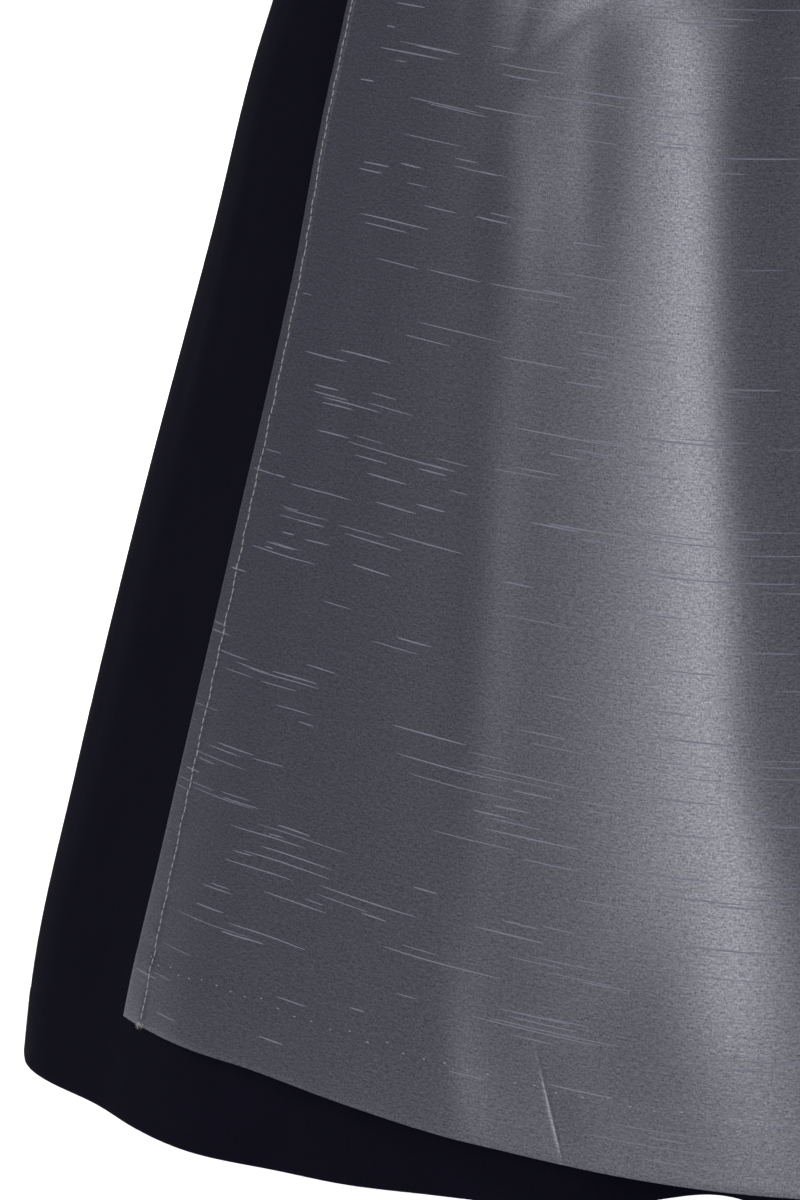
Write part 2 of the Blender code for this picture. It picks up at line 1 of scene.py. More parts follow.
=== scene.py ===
"""The looks of a navy dirndl with a grey slub-satin apron, built on the frame of its solids.

Metres, +Z up. The front faces -Y and the wearer's left is +X. Angles run round the body from the
centre front towards the wearer's left. A drop is a share of the way from the waist seam to the hem.
"""

import math

import bpy
import numpy as np
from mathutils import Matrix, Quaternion, Vector


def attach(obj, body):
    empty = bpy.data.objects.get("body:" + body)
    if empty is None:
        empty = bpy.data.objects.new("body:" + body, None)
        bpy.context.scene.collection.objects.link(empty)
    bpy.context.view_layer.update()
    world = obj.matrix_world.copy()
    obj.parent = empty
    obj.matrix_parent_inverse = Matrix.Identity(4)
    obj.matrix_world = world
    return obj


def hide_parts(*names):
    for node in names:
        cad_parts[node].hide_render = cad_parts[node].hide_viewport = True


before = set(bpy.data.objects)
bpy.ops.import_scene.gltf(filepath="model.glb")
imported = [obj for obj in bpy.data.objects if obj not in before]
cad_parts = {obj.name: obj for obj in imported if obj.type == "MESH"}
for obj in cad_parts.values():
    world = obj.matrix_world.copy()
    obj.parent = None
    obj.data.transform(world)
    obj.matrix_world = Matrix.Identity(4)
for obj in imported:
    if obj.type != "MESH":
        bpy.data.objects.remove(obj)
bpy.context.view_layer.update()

bl_info = {
    "name": "Dirndl with a satin apron",
    "version": (1, 0, 0),
    "blender": (4, 5, 0),
    "location": "View3D > Sidebar > Dirndl",
    "description": "Makes the cloth, stitching, buttons and bow of a dirndl, and its studio",
    "category": "Add Mesh",
}

# ---------------------------------------------------------------- the form that the solids share
DRESS_WALL = 0.0015
APRON_WALL = 0.0012
BAND_WALL = 0.0024
SEAM_GAP = 0.0003
LAY_GAP = 0.0006
WAIST_Z = -0.400
WAIST_DIP = 0.008
HEM_Z = -1.020
ARMHOLE_Z = -0.176

# Columns: height, half width, depth to the front, depth to the back.
BODY = np.array((
    (-0.430, 0.1410, 0.1070, 0.1010),
    (-0.400, 0.1360, 0.1010, 0.0960),
    (-0.350, 0.1380, 0.1020, 0.0960),
    (-0.300, 0.1450, 0.1090, 0.0990),
    (-0.250, 0.1530, 0.1210, 0.1030),
    (-0.210, 0.1590, 0.1310, 0.1070),
    (-0.170, 0.1620, 0.1300, 0.1090),
    (-0.130, 0.1630, 0.1200, 0.1080),
    (-0.090, 0.1630, 0.1030, 0.1010),
    (-0.050, 0.1620, 0.0780, 0.0840),
    (-0.026, 0.1610, 0.0560, 0.0610),
    (-0.012, 0.1600, 0.0380, 0.0415),
    (-0.003, 0.1600, 0.0190, 0.0207),
    (0.0000, 0.1600, 0.0000, 0.0000),
))
CUP_ACROSS = 0.076
CUP_HEIGHT = -0.208
CUP_RADIUS = 0.060
CUP_RISE = 0.013
CUP_FACING = 0.5

# Edges of the panels beside the centre. Columns: distance from the centre, height.
PANEL_EDGES = {
    "front": (
        ((0.0, -0.416), (0.0, -0.320), (0.0, -0.230), (0.0, -0.140)),
        (
            (0.0, -0.140),
            (0.038, -0.137),
            (0.065, -0.118),
            (0.077, -0.085),
            (0.083, -0.040),
            (0.086, 0.0),
        ),
        (
            (0.050, -0.415),
            (0.056, -0.350),
            (0.069, -0.280),
            (0.086, -0.210),
            (0.104, -0.160),
            (0.117, -0.128),
        ),
        ((0.117, -0.128), (0.116, -0.095), (0.120, -0.055), (0.127, -0.020), (0.131, 0.0)),
    ),
    "back": (
        ((0.0, -0.400), (0.0, -0.300), (0.0, -0.190), (0.0, -0.085)),
        (
            (0.0, -0.085),
            (0.034, -0.082),
            (0.060, -0.068),
            (0.076, -0.044),
            (0.083, -0.018),
            (0.086, 0.0),
        ),
        (
            (0.046, -0.401),
            (0.050, -0.340),
            (0.061, -0.270),
            (0.081, -0.200),
            (0.101, -0.150),
            (0.118, -0.118),
        ),
        ((0.118, -0.118), (0.118, -0.085), (0.122, -0.045), (0.127, -0.018), (0.131, 0.0)),
    ),
}
ARMHOLE_CURVE = 1.9

# Columns: drop, half width, depth to the front, depth to the back.
SKIRT = np.array((
    (0.000, 0.1380, 0.1030, 0.0980),
    (0.025, 0.1500, 0.1130, 0.1130),
    (0.065, 0.1790, 0.1380, 0.1460),
    (0.130, 0.2150, 0.1670, 0.1810),
    (0.200, 0.2425, 0.1870, 0.2020),
    (0.290, 0.2630, 0.2030, 0.2180),
    (0.425, 0.2840, 0.2230, 0.2350),
    (0.600, 0.3120, 0.2440, 0.2530),
    (0.800, 0.3410, 0.2620, 0.2650),
    (0.940, 0.3590, 0.2690, 0.2690),
    (1.000, 0.3630, 0.2710, 0.2700),
))
SKIRT_GATHERS = 40
GATHER_RISE = 0.0022
GATHER_PRESSED = 0.4
GATHER_WHOLE = 0.02
GATHER_FADE = 0.03
GATHER_END = 0.26

# Columns: degrees at the hem, rise at the hem, half width in degrees, drop where it begins, lean.
SKIRT_FOLDS = np.array((
    (-12.0, -0.038, 5.5, 0.35, 3.0),
    (-20.0, 0.003, 6.0, 0.40, 0.0),
    (-36.0, 0.004, 5.0, 0.35, -2.0),
    (-49.0, 0.004, 6.0, 0.30, -2.0),
    (-67.0, -0.009, 9.0, 0.20, -3.0),
    (-84.0, 0.003, 7.0, 0.25, -2.0),
    (-99.0, -0.010, 6.0, 0.15, 2.0),
    (-113.0, 0.009, 6.0, 0.20, 3.0),
    (-127.0, -0.012, 5.5, 0.12, 2.0),
    (-140.0, 0.011, 5.5, 0.20, 2.0),
    (-155.0, -0.013, 5.5, 0.10, 1.0),
    (-171.0, 0.010, 6.0, 0.18, 1.0),
    (171.5, 0.011, 6.0, 0.16, -1.0),
    (157.0, -0.012, 5.0, 0.10, -1.0),
    (143.0, 0.012, 5.5, 0.22, -2.0),
    (129.0, -0.011, 5.5, 0.12, -2.0),
    (116.0, 0.008, 6.0, 0.20, -3.0),
    (101.0, -0.010, 6.0, 0.16, -2.0),
    (86.0, 0.004, 7.0, 0.25, 2.0),
    (69.0, -0.008, 8.0, 0.20, 3.0),
    (52.0, 0.004, 6.0, 0.30, 2.0),
    (38.0, 0.003, 5.0, 0.35, 2.0),
    (24.0, -0.014, 5.5, 0.40, -2.0),
    (8.0, 0.003, 6.0, 0.40, 0.0),
))
FOLD_WHOLE = 1.05

APRON_EDGE = math.radians(61.5)
APRON_DRAW = 0.058
APRON_TOP = 0.0185
APRON_GATHERS = 16
APRON_GATHER_RISE = 0.0020
APRON_GATHER_FADE = 0.02
APRON_GATHER_END = 0.24
APRON_LIFT_TOP = 0.0074
APRON_LIFT_MIDDLE = 0.0066
APRON_LIFT_EDGE = 0.0034
APRON_TOP_FADE = 0.12
APRON_TOP_END = 0.34
APRON_SIDE_START = math.radians(30)
APRON_SIDE_END = math.radians(56)
APRON_FOLLOW_START = 0.30
APRON_FOLLOW_END = 0.45
APRON_TENT = 0.0150
APRON_TENT_FULL = 0.24
# Columns: degrees from the centre front, height of the apron's hem above the skirt's.
APRON_HEM = np.array((
    (0.0, 0.014),
    (15.0, 0.019),
    (30.0, 0.030),
    (45.0, 0.041),
    (61.5, 0.044),
))
# Columns: degrees under the waistband, at the middle and at the hem, share of the stand-off, half
# width.
APRON_VALLEYS = np.array((
    (-9.0, -2.4, 11.0, 0.95, 6.0),
    (11.0, 14.6, 24.0, 0.80, 5.5),
    (27.0, 30.0, 37.0, 0.65, 5.0),
    (43.0, 45.4, 49.0, 0.50, 4.5),
))
VALLEY_MIDDLE = 0.6
BAND_ABOVE = 0.025
BAND_LIFT = 0.0040
BAND_LAP = 0.0005
TIE_INSET = 0.12
KNOT_SIZE = (0.034, 0.022, 0.034)
KNOT_STAND = 0.0055
LOOP_REACH = 0.088
LOOP_SPREAD = 0.012
LOOP_NECK = 0.006
LOOP_HEIGHT = 0.044
LOOP_PINCH = 0.58
LOOP_DROOP = 0.010
TAIL_ANGLES = (5.6, 8.2)
TAIL_WIDTHS = (0.024, 0.042)
TAIL_DROPS = (0.021, 0.64)
TAIL_OPEN = 0.5
TAIL_LIFT = 0.0022
TAIL_SLANT = 0.018
PLACKET_HALF = 0.012
PLACKET_WALL = 0.0012
BUTTON_COUNT = 5
BUTTON_TOP_Z = -0.164
BUTTON_PITCH = 0.047

# ---------------------------------------------------------------- what only the looks have
CLOTH = 0.0008
STEP = 1e-4
SHARP_ANGLE = math.radians(50)
FLOOR_Z = HEM_Z - 0.45
APRON_CUT = (0.76, 0.565)

# Rows of the shells: in the gathers, below them, and in the hem.
SKIRT_ROWS = (44, 52, 24)
APRON_ROWS = (42, 96, 22)
GATHERED_PART = 0.30
SKIRT_COLUMNS = 330
SEAM_ROWS = 46
STRAP_ROWS = 34
PANEL_COLUMNS = 26
SIDE_COLUMNS = 26

# Gathers: how far the root between them is kept off zero, what is taken off their rows, and the
# share of their rise that the skirt's have before their unevenness is added.
GATHER_PINCH = 0.03
GATHER_MIDDLE = 1.15
SKIRT_FULL = 0.82
# Unevenness round the dress as sums of sines. Columns: size, waves round the dress, start.
SKIRT_FULLNESS = ((0.18, 7, 1.3),)
SKIRT_WANDER = ((0.90, 3, 0.7), (0.55, 8, 2.1))
SKIRT_GATHER_ENDS = ((0.30, 5, 1.0), (0.22, 13, 0.4))
APRON_WANDER = ((0.80, 4, 0.5), (0.50, 11, 1.7))
APRON_GATHER_ENDS = ((0.25, 9, 0.8), (0.20, 17, 0.0))
# Pleats along the bow's loops and tails: height, and radians across half of the cloth.
LOOP_PLEAT = (0.0011, 7.0)
TAIL_PLEAT = (0.0007, 6.5)

# Relief of the outer faces: heights, with half widths where they have one.
SKIRT_SEAM_DEPTH, SKIRT_SEAM_WIDTH = 0.0004, 0.004
SKIRT_HEM_STEP = 0.00025
SKIRT_HEM_ROLL = 0.0006
APRON_FACE = 0.0009
SIDE_HEM_STEP = 0.00045
APRON_HEM_STEP = 0.00012
STITCH_FURROW, STITCH_FURROW_WIDTH = 0.0003, 0.0009
STITCH_RUCK, STITCH_RUCK_WIDTH = 0.00022, 0.004
APRON_ROLL, APRON_ROLL_WIDTH = 0.0002, 0.0008
BAND_ROLL, BAND_PUCKER = 0.0008, 0.0003
TIE_ROLL, TIE_RIPPLE = 0.0004, 0.0002
BAND_ROLL_SHARE = 0.05
BOW_FACES = (0.0002, 0.0010)
PANEL_SEAM_DEPTH, PANEL_END_DEPTH, PANEL_EDGE_WIDTH = 0.0006, 0.0004, 0.0016
PANEL_PUFF = 0.00012
PLACKET_ROLL, PLACKET_FURROW = 0.0004, 0.00015
PLACKET_SEWN = 0.8

# Metres across half of the skirt, and across its cut as the weave is laid on it.
SKIRT_SPREAD = 0.9
SKIRT_WEAVE = 1.02

# The knot's rings and sides, and the powers that square off its cosines and sines, level and
# upright.
KNOT_RINGS = 40
KNOT_SIDES = 72
KNOT_POWERS = (0.6, 0.55)
KNOT_TIP = 0.02
KNOT_INSET = 0.985

# Threads. The tip is the share of a thread's half length where its last ring stands.
THREAD_TIP = 0.985
SLUB_TIP = 0.97
STITCH_INSET = 0.0012
STITCH_SIZE = (0.00060, 0.00050)
TOPSTITCH = 0.0021
TOPSTITCH_SIZE = (0.00040, 0.00035)
PRICK_LENGTHS = (0.0007, 0.0015)
PRICK_SIZE = (0.00050, 0.00040)
HEM_SEWN = 0.62
THREAD_ENDS = 14
THREAD_END_LENGTHS = (0.0016, 0.0036)
THREAD_END_SIZE = (0.00022, 0.00022)
SLUB_LENGTH = 0.028
SLUB_LENGTHS = (0.008, 0.060)
SLUB_WIDTHS = (0.00030, 0.00065)
SLUB_ENDS = 0.985
SLUBS_PAIRED = 0.33
# Small steps down a form and across it, which give a line's direction.
DOWN, ACROSS = (2e-3, 0.0), (0.0, 2e-3)

# How wide the side hem shows: it rolls under at the waist and lies flat at the hem. Columns: share
# of the length, multiple of the hem's width.
HEM_SHOWN = np.array(((0.0, 0.45), (0.30, 0.62), (0.60, 1.10), (0.85, 1.75), (1.0, 2.45)))

# Profile of a button from its foot to its crown, with a rim and a sunk ring. Columns: radius, height.
BUTTON_PROFILE = np.array((
    (0.0026, 0.0000),
    (0.0026, 0.0012),
    (0.0064, 0.0014),
    (0.0073, 0.0019),
    (0.0075, 0.0025),
    (0.0072, 0.0031),
    (0.0066, 0.0033),
    (0.0060, 0.0031),
    (0.0055, 0.0034),
    (0.0042, 0.0041),
    (0.0022, 0.0046),
    (0.0004, 0.0047),
))
BUTTON_RINGS = 46
BUTTON_SIDES = 48
BUTTON_FLUTES = 12

# The studio's soft lights. Columns: name, place, aim, width, height, watts, degrees of lean,
# degrees of spread.
LIGHTS = (
    ("key", (-1.47, -3.27, 0.24), (-0.10, -0.20, -0.72), 0.72, 2.6, 21, 37, 180),
    ("key_low", (-0.62, -3.64, -1.03), (-0.10, -0.20, -0.72), 0.62, 0.9, 4.2, 37, 180),
    ("side", (-2.47, -1.06, 1.71), (-0.10, -0.20, -0.72), 1.0, 1.0, 11, 0, 180),
    ("fill", (1.37, -3.36, -0.42), (-0.10, -0.20, -0.72), 2.2, 1.2, 2.5, 0, 180),
    ("back", (0.6, 3.0, 1.2), (0.0, 0.0, -0.6), 2.5, 2.0, 20, 0, 180),
    ("floor_wash", (-0.4, 5.2, 2.4), (-0.4, 4.6, FLOOR_Z), 2.6, 5.5, 160, 0, 75),
)
WORLD_COLOUR = (0.85, 0.85, 1.15, 1.0)
WORLD_STRENGTH = 0.115
FLOOR_REACH = 14.0
CAMERA_PLACE = (0.0, -3.4, -0.17)
CAMERA_AIM = (-0.208, 0.0, -0.826)
CAMERA_LENS = 248.0
CAMERA_SENSOR = 36.0
CAMERA_SIGHT = 60.0

# The one sharp crease, at the apron's hem: degrees from the centre front, share of the length and
# degrees of lean.
HEM_CREASE = (-20.9, 0.965, 15.0)

# Creases of the apron, soft troughs and ridges. Columns: degrees from the centre front, share of
# the length, half widths to the wearer's right and left, half length and rise in metres, degrees of
# lean.
APRON_CREASES = (
    (-25.6, 0.31, 0.0095, 0.0095, 0.055, -0.0010, 4.0),
    (-29.2, 0.243, 0.0110, 0.0110, 0.034, 0.0017, -42.0),
    (-32.0, 0.36, 0.0115, 0.0115, 0.045, 0.0015, 4.0),
    (-30.0, 0.62, 0.0110, 0.0110, 0.140, 0.0012, 4.2),
    (-28.5, 0.953, 0.0240, 0.0130, 0.062, 0.0018, 10.0),
    (-12.5, 0.972, 0.0400, 0.0340, 0.045, -0.0019, 0.0),
    (-6.5, 0.71, 0.0200, 0.0200, 0.055, -0.0024, 8.0),
    (-10.6, 0.92, 0.0360, 0.0360, 0.070, 0.0042, 3.0),
    (-15.5, 0.21, 0.0140, 0.0140, 0.035, -0.0014, 0.0),
    (HEM_CREASE[0], HEM_CREASE[1], 0.0006, 0.0006, 0.019, -0.0003, HEM_CREASE[2]),
    (HEM_CREASE[0], HEM_CREASE[1], 0.0300, 0.0085, 0.020, -0.0007, HEM_CREASE[2]),
    (-15.0, 0.84, 0.0200, 0.0200, 0.060, -0.0008, -18.0),
    (-46.0, 0.60, 0.0120, 0.0120, 0.220, -0.0006, 1.0),
    (-54.0, 0.45, 0.0090, 0.0090, 0.190, -0.0004, 2.0),
    (22.0, 0.20, 0.0080, 0.0080, 0.070, -0.0014, -3.0),
    (34.0, 0.55, 0.0140, 0.0140, 0.250, 0.0008, -1.0),
    (38.0, 0.30, 0.0070, 0.0070, 0.080, -0.0010, -2.0),
    (39.0, 0.92, 0.0030, 0.0030, 0.022, -0.0009, -8.0),
    (53.0, 0.52, 0.0100, 0.0100, 0.170, -0.0006, -2.0),
)

# Creases of the skirt, in the same columns with a drop in place of the share.
SKIRT_CREASES = (
    (-74.0, 0.46, 0.0130, 0.0130, 0.110, 0.0010, 2.0),
    (-80.0, 0.72, 0.0160, 0.0160, 0.100, -0.0011, -2.0),
    (-118.0, 0.44, 0.0100, 0.0100, 0.080, -0.0014, 4.0),
    (-134.0, 0.66, 0.0090, 0.0090, 0.070, 0.0012, -4.0),
    (-148.0, 0.38, 0.0090, 0.0090, 0.070, -0.0014, 3.0),
    (164.0, 0.58, 0.0100, 0.0100, 0.080, 0.0011, 3.0),
    (136.0, 0.40, 0.0090, 0.0090, 0.070, -0.0013, -3.0),
    (122.0, 0.68, 0.0100, 0.0100, 0.080, -0.0012, 4.0),
    (95.0, 0.52, 0.0120, 0.0120, 0.100, 0.0010, -2.0),
    (76.0, 0.70, 0.0140, 0.0140, 0.090, -0.0010, 2.0),
)


def linear(code):
    """The linear colour, with an alpha of one, of an sRGB hex code."""
    parts = np.array([int(code[i : i + 2], 16) for i in (0, 2, 4)]) / 255
    low, high = parts / 12.92, ((parts + 0.055) / 1.055) ** 2.4
    return (*np.where(parts <= 0.04045, low, high).tolist(), 1.0)


# ---------------------------------------------------------------- settings
class DirndlSizes(bpy.types.PropertyGroup):
    """Sizes of the cloth and its details."""

    side_hem: bpy.props.FloatProperty(
        name="Side hem", description="Width of the apron's side hems", default=0.0095,
        min=0.004, max=0.03, unit="LENGTH", precision=4,
    )
    hem_turn: bpy.props.FloatProperty(
        name="Hem turn-up", description="Height of the turned-up hem of apron and skirt",
        default=0.029, min=0.01, max=0.06, unit="LENGTH", precision=4,
    )
    stitch_pitch: bpy.props.FloatProperty(
        name="Topstitch", description="Length of one topstitch with its gap", default=0.0034,
        min=0.002, max=0.006, unit="LENGTH", precision=4,
    )
    blind_pitch: bpy.props.FloatProperty(
        name="Blind stitch", description="Distance between the hem's blind stitches",
        default=0.0082, min=0.004, max=0.02, unit="LENGTH", precision=4,
    )
    slub_count: bpy.props.IntProperty(
        name="Slubs", description="How many thick places the apron's weft shows", default=760,
        min=0, max=2000,
    )


class DirndlColours(bpy.types.PropertyGroup):
    """Colours of the cloth, thread and metal."""

    navy: bpy.props.FloatVectorProperty(
        name="Dress cloth", description="Colour of the skirt and bodice", subtype="COLOR",
        size=4, min=0, max=1, default=linear("1a1927"),
    )
    satin: bpy.props.FloatVectorProperty(
        name="Apron satin", description="Colour of the apron's cloth", subtype="COLOR",
        size=4, min=0, max=1, default=linear("93939a"),
    )
    slub: bpy.props.FloatVectorProperty(
        name="Slub thread", description="Colour of the thick places in the weft",
        subtype="COLOR", size=4, min=0, max=1, default=linear("b0b3bf"),
    )
    pewter: bpy.props.FloatVectorProperty(
        name="Buttons", description="Colour of the buttons' metal", subtype="COLOR",
        size=4, min=0, max=1, default=linear("a7a49c"),
    )
    floor: bpy.props.FloatVectorProperty(
        name="Floor", description="Colour of the studio floor", subtype="COLOR",
        size=4, min=0, max=1, default=linear("f2f2f2"),
    )


# ---------------------------------------------------------------- shapes
def smooth(knots, values, at):
    """The cubic curve through the values at the knots, with each knot's slope taken from its
    neighbours, read at the given places."""
    knots, values = np.asarray(knots, float), np.asarray(values, float)
    slopes = np.gradient(values, knots)
    first = np.clip(np.searchsorted(knots, at) - 1, 0, len(knots) - 2)
    width = knots[first + 1] - knots[first]
    t = (at - knots[first]) / width
    rise = values[first + 1] - values[first]
    return (
        values[first]
        + rise * t * t * (3 - 2 * t)
        + slopes[first] * width * t * (1 - t) ** 2
        + slopes[first + 1] * width * t * t * (t - 1)
    )


def ease(start, end, at):
    """0 before the start, 1 after the end, and 3t^2 - 2t^3 between them."""
    t = np.clip((at - start) / (end - start), 0.0, 1.0)
    return t * t * (3 - 2 * t)


def bell(gap, width):
    """A bell curve: the exponential of minus the square of the gap over its width."""
    return np.exp(-((gap / width) ** 2))


def round_gap(angle, centre):
    """The signed angle between two directions round the body."""
    return (angle - centre + math.pi) % (2 * math.pi) - math.pi


def place(x, y, z):
    """Points from three arrays that fit each other."""
    return np.stack(np.broadcast_arrays(x, y, z), -1)


def waist_height(angle):
    """The waist seam dips towards the front by the dip times one plus the cosine."""
    return WAIST_Z - WAIST_DIP * (1 + np.cos(angle))


def body_columns(level):
    """Height, half width, front and back depth at a level counted in rows of the table."""
    rows = np.arange(len(BODY))
    return [smooth(rows, BODY[:, column], level) for column in range(4)]


def level_at(height):
    """The level of a height, read back from the table's heights."""
    levels = np.linspace(0, len(BODY) - 1, 1400)
    return np.interp(height, body_columns(levels)[0], levels)


def body(angle, level):
    """The bodice's inside: an ellipse at each level, its front deepened by two bells."""
    height, half, front, back = body_columns(level)
    x = half * np.sin(angle)
    cups = bell(height - CUP_HEIGHT, CUP_RADIUS)
    cups = cups * (bell(x - CUP_ACROSS, CUP_RADIUS) + bell(x + CUP_ACROSS, CUP_RADIUS))
    facing = np.clip(np.cos(angle), 0, 1)
    depth = np.where(np.cos(angle) > 0, front, back)
    return place(x, -depth * np.cos(angle) - CUP_RISE * cups * ease(0, CUP_FACING, facing), height)


def skirt_folds(angle, fall):
    """The skirt's folds: a bell round each fold's centre, growing from its start to the hem."""
    out = np.zeros(np.broadcast(angle, fall).shape)
    for hem_degrees, rise, width, start, lean in SKIRT_FOLDS:
        centre = np.radians(hem_degrees - lean * (1 - fall))
        shape = bell(round_gap(angle, centre), math.radians(width))
        out = out + rise * ease(start, FOLD_WHOLE, fall) * shape
    return out


def gather_depth(fall, end=GATHER_END):
    """How deep the gathers are: pressed at the seam, whole below it, gone at their end."""
    opened = GATHER_PRESSED + (1 - GATHER_PRESSED) * ease(0.0, GATHER_WHOLE, fall)
    return GATHER_RISE * opened * (1 - ease(GATHER_FADE, end, fall))


def gathered(turn):
    """A row of gathers, round on top and pinched between: twice the root of the squared cosine of
    half the turn, with the root kept off zero, less a middle value."""
    squared = GATHER_PINCH + (1 - GATHER_PINCH) * np.cos(turn / 2) ** 2
    return 2 * np.sqrt(squared) - GATHER_MIDDLE


def waver(rows, angle):
    """The sum of each row's size times the sine of its waves times the angle, plus its start."""
    return sum(size * np.sin(waves * angle + start) for size, waves, start in rows)


def skirt_form(fall, angle, out):
    """A point on the skirt's ellipse at a drop, moved out along the ellipse's level normal."""
    half, front, back = (smooth(SKIRT[:, 0], SKIRT[:, column], fall) for column in (1, 2, 3))
    depth = np.where(np.cos(angle) > 0, front, back)
    across, along = depth * np.sin(angle), -half * np.cos(angle)
    size = np.hypot(across, along)
    waist = waist_height(angle) - SEAM_GAP
    return place(
        half * np.sin(angle) + out * across / size,
        -depth * np.cos(angle) + out * along / size,
        waist + (HEM_Z - waist) * fall,
    )


def crease_reach(down):
    """Metres for each radian round the dress, on which the creases' widths are measured."""
    return np.interp(down, (0.0, 0.3, 1.0), (0.14, 0.24, 0.32))


def creases(table, angle, down, length):
    """Troughs and ridges: each a bell across its line, with its own width on either side, times a
    bell along it."""
    out = np.zeros(np.broadcast(angle, down).shape)
    reach = crease_reach(down)
    for degrees, middle, right, left, long, rise, lean in table:
        along = (down - middle) * length
        across = round_gap(angle, math.radians(degrees)) * reach - math.tan(math.radians(lean)) * along
        out = out + rise * bell(across, np.where(across < 0, right, left)) * bell(along, long)
    return out


def skirt(fall, angle):
    """The skirt's inside: plain form, folds, uneven gathers and creases."""
    end = GATHER_END * (1 + waver(SKIRT_GATHER_ENDS, angle))
    full = SKIRT_FULL + waver(SKIRT_FULLNESS, angle)
    turn = SKIRT_GATHERS * angle + waver(SKIRT_WANDER, angle)
    gathers = gather_depth(fall, end) * full * gathered(turn)
    made = creases(SKIRT_CREASES, angle, fall, WAIST_Z - HEM_Z)
    return skirt_form(fall, angle, skirt_folds(angle, fall) + gathers + made)


def apron_fall(share, angle):
    """The drop on the skirt that a share of the apron's length reaches."""
    length = waist_height(angle) - HEM_Z
    end = 1 - smooth(APRON_HEM[:, 0], APRON_HEM[:, 1], np.degrees(np.abs(angle))) / length
    return APRON_TOP + share * (end - APRON_TOP)


def apron_rise(share, angle, fall):
    """How far the apron's inside stands out: a lift, a tent over the middle less its valleys,
    gathers, the skirt's folds at the sides, and creases."""
    beside = ease(APRON_SIDE_START, APRON_SIDE_END, np.abs(angle))
    lift = APRON_LIFT_MIDDLE + (APRON_LIFT_EDGE - APRON_LIFT_MIDDLE) * beside
    lift = lift + (APRON_LIFT_TOP - lift) * (1 - ease(APRON_TOP_FADE, APRON_TOP_END, share))
    centred = np.cos(angle / APRON_EDGE * math.pi / 2) ** 2
    tent = APRON_TENT * ease(0.0, APRON_TENT_FULL, share) * centred
    kept = 1.0
    for *degrees, part, width in APRON_VALLEYS:
        centre = np.radians(smooth((0.0, VALLEY_MIDDLE, 1.0), degrees, share))
        kept = kept * (1 - part * bell(angle - centre, math.radians(width)))
    turn = 2 * math.pi * APRON_GATHERS * (angle / APRON_EDGE + 1) / 2
    turn = turn + waver(APRON_WANDER, angle)
    end = APRON_GATHER_END * (1 + waver(APRON_GATHER_ENDS, angle))
    waves = APRON_GATHER_RISE * (1 - ease(APRON_GATHER_FADE, end, share)) * gathered(turn)
    follow_share = beside * ease(APRON_FOLLOW_START, APRON_FOLLOW_END, share)
    made = creases(APRON_CREASES, angle, share, WAIST_Z - HEM_Z)
    return lift + tent * kept + waves + skirt_folds(angle, fall) * follow_share + made


def apron(share, angle):
    """The apron's inside."""
    angle = angle * (1 - APRON_DRAW * np.sin(share * math.pi))
    fall = apron_fall(share, angle)
    return skirt_form(fall, angle, apron_rise(share, angle, fall))


def band(share, angle):
    """The waistband's inside: straight from its top edge on the bodice to its foot."""
    level = level_at(waist_height(angle) + BAND_ABOVE)
    top = body(angle, level) + BAND_LIFT * normals(body, angle, level)
    foot = skirt_form(APRON_TOP - BAND_LAP, angle, BAND_LIFT + LAY_GAP)
    share = np.asarray(share)[..., None]
    return top * (1 - share) + foot * share


def normals(form, first, second):
    """Unit normals: the cross product of the form's slopes in its two directions."""
    along = form(first + STEP, second) - form(first - STEP, second)
    across = form(first, second + STEP) - form(first, second - STEP)
    normal = np.cross(along, across)
    return normal / np.linalg.norm(normal, axis=-1, keepdims=True)


def knot_centre():
    """The middle of the knot, off the band at the centre back."""
    return band(np.array(0.5), np.array(math.pi)) + (0, KNOT_STAND + KNOT_SIZE[1] / 2, 0)


def knot_angle():
    """Half the angle round the waist that the knot takes."""
    return math.asin((KNOT_SIZE[0] / 2 + SEAM_GAP) / BODY[1, 1])


def loop_form(turn):
    """A bow loop: its reach follows a half sine out and back, its two sides part by the cosine
    of the way round, and pleats that open away from the knot run along it."""
    root = knot_centre() + (turn * (KNOT_SIZE[0] / 2 + LAY_GAP), 0, 0)
    rise, pleats = LOOP_PLEAT

    def form(across, along):
        reach = np.sin(along * math.pi)
        side = (LOOP_NECK / 2 + LOOP_SPREAD * reach) * np.cos(along * math.pi)
        side = side + rise * np.cos(across * pleats + turn) * (1 - 0.8 * reach)
        half = LOOP_HEIGHT / 2 * (LOOP_PINCH + (1 - LOOP_PINCH) * reach)
        drop = LOOP_DROOP * reach**2
        return root + place(turn * LOOP_REACH * reach, turn * side, half * across - drop)

    return form


def tail_form(turn):
    """A bow tail, laid on the back of the skirt over its gathers and folds."""
    rise, pleats = TAIL_PLEAT

    def form(share, across):
        slant = TAIL_SLANT * across * share
        fall = TAIL_DROPS[0] + (TAIL_DROPS[1] - TAIL_DROPS[0]) * share + slant
        aside = TAIL_ANGLES[0] + (TAIL_ANGLES[1] - TAIL_ANGLES[0]) * share
        width = TAIL_WIDTHS[0] + (TAIL_WIDTHS[1] - TAIL_WIDTHS[0]) * ease(0.0, TAIL_OPEN, share)
        half_turn = width / 2 / smooth(SKIRT[:, 0], SKIRT[:, 1], fall)
        angle = math.pi - turn * np.radians(aside) + across * half_turn
        pleat = rise * np.cos(across * pleats + turn) * (1 - ease(0.05, 0.6, share))
        out = skirt_folds(angle, fall) + gather_depth(fall) + DRESS_WALL + TAIL_LIFT + pleat
        return skirt_form(fall, angle, out)

    return form


# ---------------------------------------------------------------- bodice panels
def angle_of(across, level, facing):
    """The angle round the body of a point at a distance from the centre plane."""
    turn = np.arcsin(np.clip(across / body_columns(level)[1], -1, 1))
    return turn if facing == "front" else math.pi - turn


def run_along(points):
    """Distance from the first point to each point of a line."""
    steps = np.linalg.norm(np.diff(points, axis=0), axis=1)
    return np.concatenate([[0], np.cumsum(steps)])


